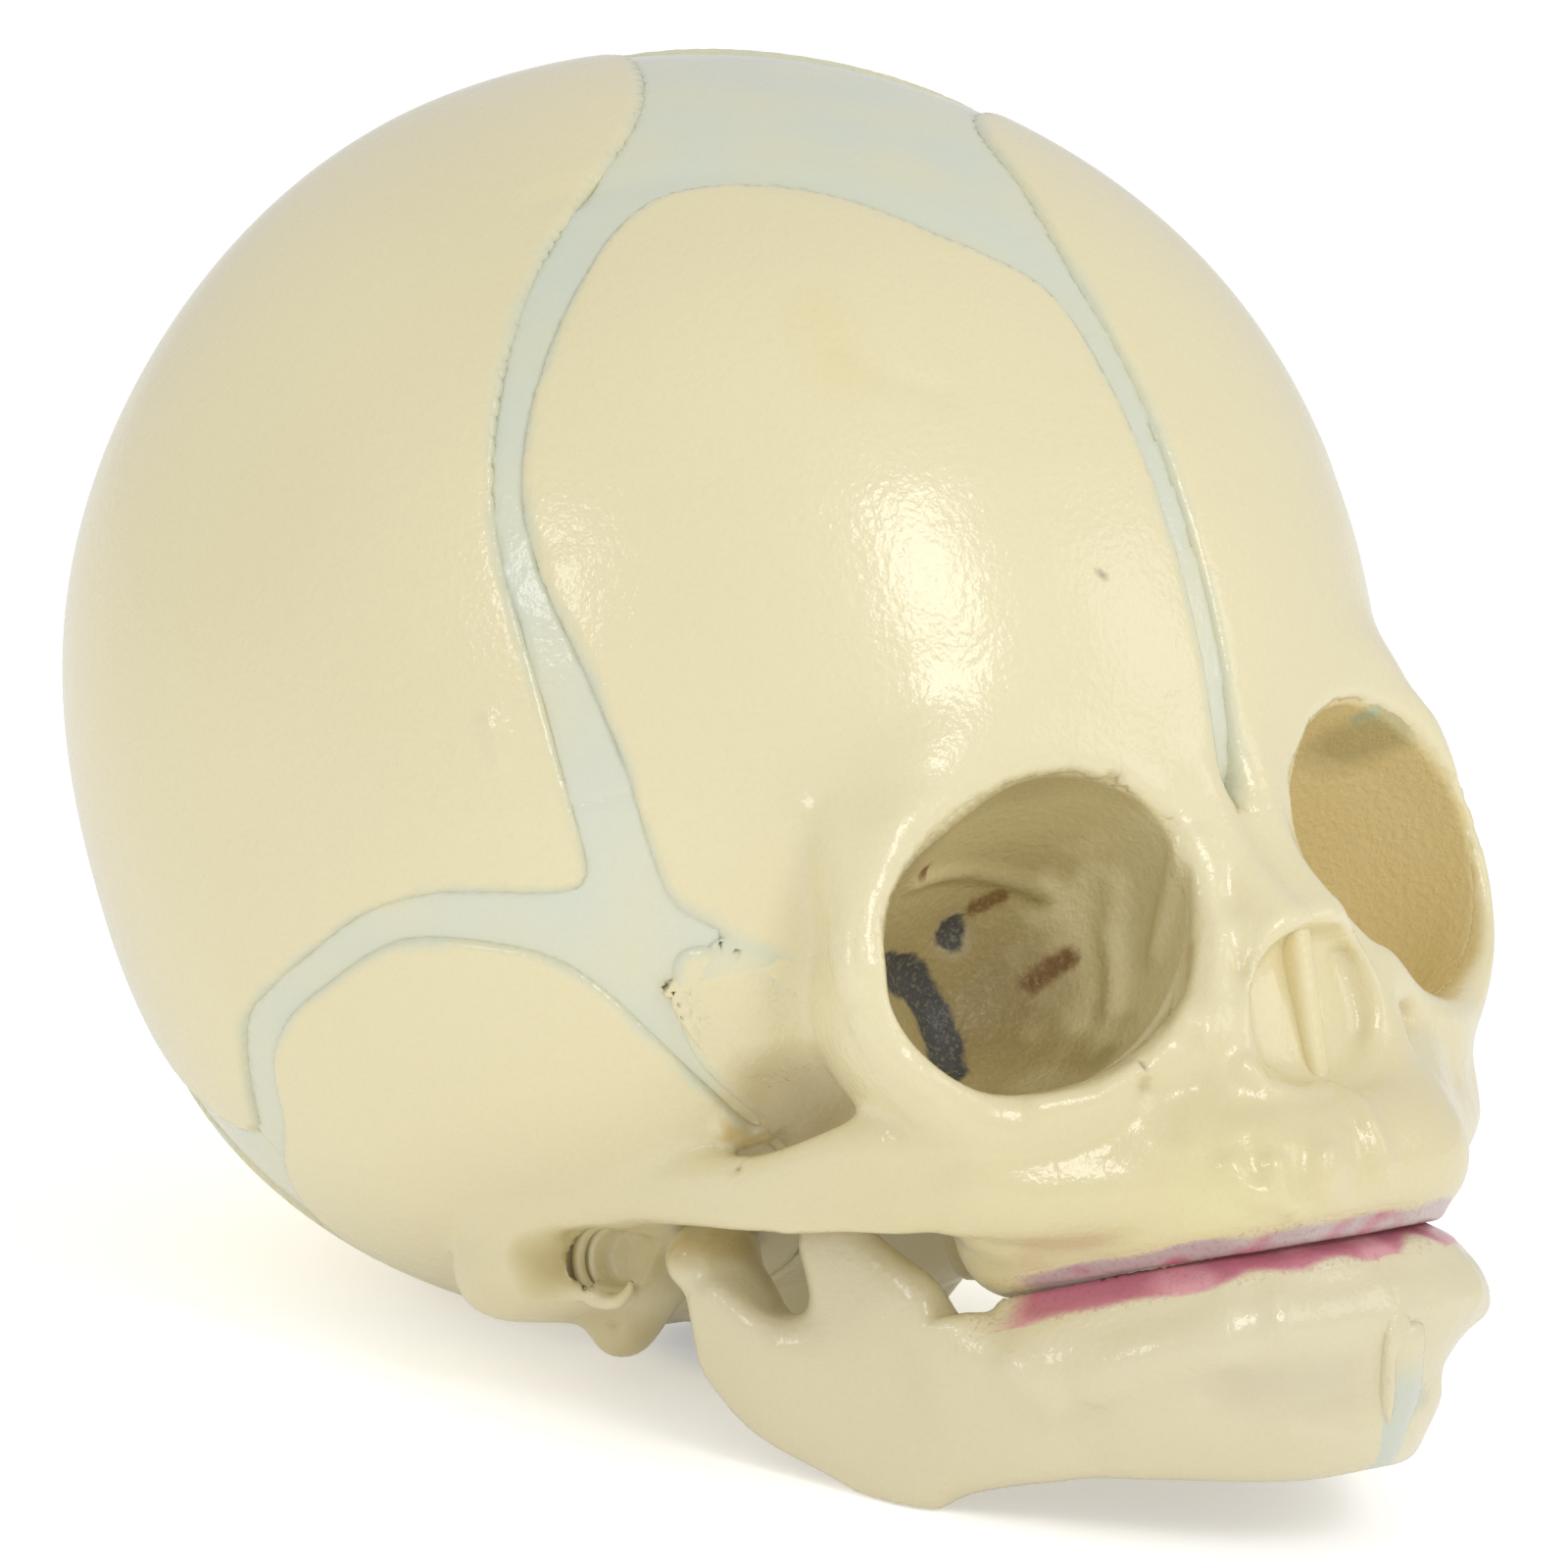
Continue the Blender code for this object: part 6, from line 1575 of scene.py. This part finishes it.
def bone_colours(name, points):
    colours = np.tile(BONE, (len(points), 1))
    # Towards the bottom the bones take the darker temporal and cheek tones, in part as painted shade
    low = ramp(points[:, 2], *LOW_SHADE_FADE)
    colours = mixed(colours, TEMPORAL_BONE_AND_SHADE, low * ramp(points[:, 1], *TEMPORAL_FADE))
    colours = mixed(colours, CHEEK_BONE_AND_SHADE, low * ramp(points[:, 1], *CHEEK_FADE))
    word = name.split("_")[0]
    side = side_of(name)
    if word == "mandible":
        colours = np.tile(JAW_BONE_AND_SHADE, (len(points), 1))
    outlines = {"frontal": FRONTAL[side], "parietal": PARIETAL[side], "sphenoid": WING[side],
                "temporal": TEMPORAL[side], "occipital": OCCIPITAL}
    if word in outlines:
        edge = ramp(outlines[word](points) + uneven(points, *OVERSPRAY_WAVES), *OVERSPRAY_EDGE_FADE)
        outside = ramp(vault_field(points), *OVERSPRAY_SKIN_FADE)
        colours = mixed(colours, OVERSPRAY, edge * outside * OVERSPRAY_SHARE)
    colours = mixed(colours, NOSE_INSIDE, ramp(nasal_field(points), *NOSE_FADE))
    for side in SIDES:
        share = socket_paint_share(points, side) * (1.0 - medial_share(points, side))
        colours = mixed(colours, SOCKET_TONES[side], share)
    return colours


def membrane_colours(name, points):
    if name == "mandibular_symphysis":
        return mixed(np.tile(CHIN_PATCH, (len(points), 1)), JAW_BONE_AND_SHADE, ramp(points[:, 2], *CHIN_FADE))
    colours = np.tile(MEMBRANE, (len(points), 1))
    colours = mixed(colours, SIDE_MEMBRANE, ramp(points[:, 2], *SIDE_MEMBRANE_FADE))
    return mixed(colours, BONE, MEMBRANE_BARE_SHARE + uneven(points, *MEMBRANE_WAVES))


def socket_colours(name, points):
    side = side_of(name)
    outside = ramp(orbit_field(points, side), *SOCKET_RIM_FADE)
    colours = np.tile(SOCKET_TONES[side], (len(points), 1))
    return mixed(colours, BONE, np.maximum(outside, medial_share(points, side)))


def gum_colours(name, points):
    bite = above_bite(points)
    streak = waves(points, *GUM_STREAKS)
    if name == "upper_gum":
        flush = GUM_FLUSH_SHARE * (waves(points, *GUM_FLUSHES) - GUM_FLUSH_START)
        colours = mixed(np.tile(UPPER_GUM, (len(points), 1)), LOWER_GUM, flush)
        colours = mixed(colours, CHEEK_BONE_AND_SHADE, ramp(bite - UPPER_GUM_UNEVENNESS * streak, *UPPER_GUM_FADE))
        return mixed(colours, CHEEK_BONE_AND_SHADE, ramp(points[:, 1], *UPPER_GUM_END))
    colours = mixed(np.tile(LOWER_GUM, (len(points), 1)), LIGHT_GUM, streak)
    colours = mixed(colours, JAW_BONE_AND_SHADE, ramp(-bite - LOWER_GUM_UNEVENNESS * streak, *LOWER_GUM_FADE))
    return mixed(colours, JAW_BONE_AND_SHADE, ramp(points[:, 1], *LOWER_GUM_END))


COLOURS_OF = {"bone": bone_colours, "membrane": membrane_colours, "socket": socket_colours,
              "gum": gum_colours}


def colours_of(name, kind, points):
    """Paint of a piece, in screen values."""
    colours = COLOURS_OF[kind](name, points)
    colours = colours * (1.0 + uneven(points, *BLOTCH_WAVES)[:, None])
    height, length, seed = MARK_WAVES
    for (target, _, width, soft, tone, strength), path in zip(PAINTS, PAINT_PATHS):
        if target == kind:
            near, away = path_distance(points, path)
            away = away + uneven(points[near], height * width, max(MARK_WAVE_LEAST, width * length), seed)
            share = ramp(away, width + soft * 0.5, width - soft * 0.5) * strength
            colours[near] = mixed(colours[near], np.array(tone, float), share)
    return colours


def linear(screen):
    """Light of a surface from its screen values between 0 and 255."""
    share = np.array(screen) / 255.0
    return np.where(share > 0.04045, ((share + 0.055) / 1.055) ** 2.4, share / 12.92)


BODY_OF = {node: body for body, nodes in frame["record"]["behaviour"]["bodies"].items() for node in nodes}


def dress(node, points, quads, slot):
    obj = mesh_object(node + "_skin", points, quads)
    colours = np.column_stack([linear(colours_of(node, slot, points)), np.ones(len(points))])
    paint_layer = obj.data.attributes.new("paint", 'FLOAT_COLOR', 'POINT')
    paint_layer.data.foreach_set("color", colours.astype(np.float32).ravel())
    obj.data.materials.append(PAINT_OF[slot])
    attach(obj, BODY_OF[node])
    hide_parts(node)


# Materials

def new_material(name):
    material = bpy.data.materials.new(name)
    material.use_nodes = True
    nodes = material.node_tree.nodes
    return material, nodes, material.node_tree.links, nodes["Principled BSDF"]


def set_inputs(node, values):
    for key, value in values.items():
        node.inputs[key].default_value = value


def noise(nodes, links, place, scale, detail):
    texture = nodes.new("ShaderNodeTexNoise")
    set_inputs(texture, {"Scale": scale, "Detail": detail})
    links.new(place.outputs["Object"], texture.inputs["Vector"])
    return texture.outputs["Fac"]


# Grain of the paint: how many forms a metre holds, and how far the bumps reach
SPECKLE_SCALE = 2600.0
STIPPLE_SCALE = 1700.0
RIPPLE_SCALE = 330.0
SPECKLE_RANGE = (0.52, 0.66)
BUMP_REACH = 0.0001
COAT_ROUGHNESS = 0.1


def painted(name, roughness, coat, stipple, ripple, speckle, speckle_tone):
    """Paint over vinyl: its colour from the paint layer, with speckles, stipple and soft ripples."""
    material, nodes, links, shader = new_material(name)
    place = nodes.new("ShaderNodeTexCoord")
    layer = nodes.new("ShaderNodeAttribute")
    layer.attribute_type = 'GEOMETRY'
    layer.attribute_name = "paint"
    dots = nodes.new("ShaderNodeMapRange")
    start, end = SPECKLE_RANGE
    set_inputs(dots, {"From Min": start, "From Max": end, "To Max": speckle})
    links.new(noise(nodes, links, place, SPECKLE_SCALE, 2.0), dots.inputs["Value"])
    mix = nodes.new("ShaderNodeMix")
    mix.data_type = 'RGBA'
    mix.inputs[7].default_value = (*linear(speckle_tone), 1.0)
    links.new(dots.outputs["Result"], mix.inputs[0])
    links.new(layer.outputs["Color"], mix.inputs[6])
    links.new(mix.outputs[2], shader.inputs["Base Color"])
    height = nodes.new("ShaderNodeMath")
    height.operation = 'MULTIPLY_ADD'
    height.inputs[1].default_value = ripple
    links.new(noise(nodes, links, place, RIPPLE_SCALE, 1.0), height.inputs[0])
    fine = nodes.new("ShaderNodeMath")
    fine.operation = 'MULTIPLY'
    fine.inputs[1].default_value = stipple
    links.new(noise(nodes, links, place, STIPPLE_SCALE, 2.0), fine.inputs[0])
    links.new(fine.outputs["Value"], height.inputs[2])
    bump = nodes.new("ShaderNodeBump")
    set_inputs(bump, {"Strength": 1.0, "Distance": BUMP_REACH})
    links.new(height.outputs["Value"], bump.inputs["Height"])
    for key in ("Normal", "Coat Normal"):
        links.new(bump.outputs["Normal"], shader.inputs[key])
    set_inputs(shader, {"Roughness": roughness, "Coat Weight": coat, "Coat Roughness": COAT_ROUGHNESS})
    return material


# Name, roughness, coat, stipple, ripple, speckle and its tone
PAINT_OF = {
    "bone": painted("bone_paint", 0.36, 0.7, 0.6, 0.75, 0.05, (196, 180, 130)),
    "membrane": painted("membrane_paint", 0.36, 0.7, 0.5, 0.9, 0.05, (190, 205, 200)),
    "socket": painted("socket_paint", 0.6, 0.15, 1.4, 0.5, 0.22, (214, 200, 156)),
    "gum": painted("gum_paint", 0.32, 0.6, 0.6, 0.6, 0.25, (170, 84, 116)),
}

# Shape, fineness, paint, and whether it is carved once, for each side, or once and mirrored
PIECES = [
    (frontal_bone, VAULT_STEP, "bone", "each"),
    (parietal_bone, VAULT_STEP, "bone", "pair"),
    (temporal_bone, FACE_STEP, "bone", "pair"),
    (sphenoid_wing, FACE_STEP, "bone", "each"),
    (lateral_membrane, FACE_STEP, "membrane", "each"),
    (maxilla, FACE_STEP, "bone", "each"),
    (zygomatic_bone, FACE_STEP, "bone", "each"),
    (nasal_bone, FACE_STEP, "bone", "each"),
    (orbit_lining, FACE_STEP, "socket", "each"),
    (tympanic_ring, FINE_STEP, "bone", "pair"),
    (mandible, FACE_STEP, "bone", "pair"),
    (occipital_bone, VAULT_STEP, "bone", "one"),
    (skull_base, FACE_STEP, "bone", "one"),
    (anterior_fontanelle, VAULT_STEP, "membrane", "one"),
    (posterior_fontanelle, VAULT_STEP, "membrane", "one"),
    (nasal_septum, FINE_STEP, "bone", "one"),
    (upper_gum, FACE_STEP, "gum", "one"),
    (mandibular_symphysis, FACE_STEP, "membrane", "one"),
    (lower_gum, FACE_STEP, "gum", "one"),
]


def make_pieces():
    for shape, step, slot, kind in PIECES:
        name = shape.__name__
        if kind == "one":
            dress(name, *carve(name, shape, RIGHT, step), slot)
        elif kind == "each":
            for side, word in SIDES.items():
                node = name + "_" + word
                dress(node, *carve(node, shape, side, step), slot)
        else:
            points, quads = carve(name + "_right", shape, RIGHT, step)
            dress(name + "_right", points, quads, slot)
            dress(name + "_left", points * (-1, 1, 1), quads[:, ::-1], slot)


# Studio: levels of the light as seen by the skull and by the camera, then the lamps with their
# direction as shares of the camera's back, right and up, their size and their power
WORLD_LEVELS = (0.67, 1.0)
FLOOR_LEVELS = (0.14, 0.40)
FLOOR_REACH = 3.0
FLOOR_SINK = 0.0002
LAMP_DISTANCE = 0.8
WHITE = (1.0, 1.0, 1.0, 1.0)
LAMPS = [
    ("key", (0.80, 0.52, 0.42), 0.24, 1.1),
    ("side", (0.75, -0.72, 0.30), 0.16, 0.4),
    ("rim", (0.2, 1.0, 0.3), 0.3, 0.4),
]


def place_camera():
    """Camera at the photograph's viewpoint, and its right, up and back in the frame."""
    origin = to_world(np.zeros((1, 3)))[0]
    axes = [(to_world(axis[None]) - origin)[0] / MM for axis in (CAMERA_RIGHT, CAMERA_UP, CAMERA_BACK)]
    place = to_world(CAMERA_PLACE[None])[0]
    data = bpy.data.cameras.new("camera")
    data.sensor_width = SENSOR
    data.lens = CAMERA_FOCUS_PIXELS / FRAME_PIXELS * SENSOR
    data.clip_end = FAR_CLIP
    camera = bpy.data.objects.new("camera", data)
    camera.matrix_world = Matrix(np.vstack([np.column_stack([*axes, place]), (0, 0, 0, 1)]).tolist())
    bpy.context.scene.collection.objects.link(camera)
    bpy.context.scene.camera = camera
    return axes


def area_light(name, aim, direction, size, power):
    data = bpy.data.lights.new(name, 'AREA')
    data.energy = power
    data.size = size
    light = bpy.data.objects.new(name, data)
    direction = Vector(unit(direction))
    light.location = Vector(aim) + direction * LAMP_DISTANCE
    light.rotation_euler = direction.to_track_quat('Z', 'Y').to_euler()
    bpy.context.scene.collection.objects.link(light)


def level_by_ray(nodes, links, levels, target, kinds):
    """Strength of a light that differs for the kinds of ray named."""
    path = nodes.new("ShaderNodeLightPath")
    level = nodes.new("ShaderNodeMapRange")
    set_inputs(level, {"To Min": levels[0], "To Max": levels[1]})
    source = path.outputs[kinds[0]]
    if len(kinds) == 2:
        pick = nodes.new("ShaderNodeMath")
        pick.operation = 'MAXIMUM'
        for i, kind in enumerate(kinds):
            links.new(path.outputs[kind], pick.inputs[i])
        source = pick.outputs["Value"]
    links.new(source, level.inputs["Value"])
    links.new(level.outputs["Result"], target)


def studio(axes):
    right, up, back = axes
    scene = bpy.context.scene
    scene.view_settings.view_transform = 'Standard'
    world = bpy.data.worlds.new("studio")
    scene.world = world
    world.use_nodes = True
    nodes = world.node_tree.nodes
    background = nodes["Background"]
    set_inputs(background, {"Color": WHITE})
    level_by_ray(nodes, world.node_tree.links, WORLD_LEVELS, background.inputs["Strength"],
                 ("Is Camera Ray", "Is Transmission Ray"))
    middle = (np.array(CAD_BOUNDS[0]) + np.array(CAD_BOUNDS[1])) / 2
    for name, (behind, aside, above), size, power in LAMPS:
        area_light(name, middle, back * behind + right * aside + up * above, size, power)

    corners = [(x * FLOOR_REACH, y * FLOOR_REACH, 0) for x, y in ((-1, -1), (1, -1), (1, 1), (-1, 1))]
    mesh = bpy.data.meshes.new("floor")
    mesh.from_pydata(corners, [], [(0, 1, 2, 3)])
    floor = bpy.data.objects.new("floor", mesh)
    floor.location = (0, 0, -FLOOR_SINK)
    scene.collection.objects.link(floor)
    material, nodes, links, shader = new_material("floor")
    set_inputs(shader, {"Base Color": WHITE, "Roughness": 1.0, "Specular IOR Level": 0.0,
                        "Emission Color": WHITE})
    level_by_ray(nodes, links, FLOOR_LEVELS, shader.inputs["Emission Strength"], ("Is Camera Ray",))
    mesh.materials.append(material)


make_pieces()
studio(place_camera())
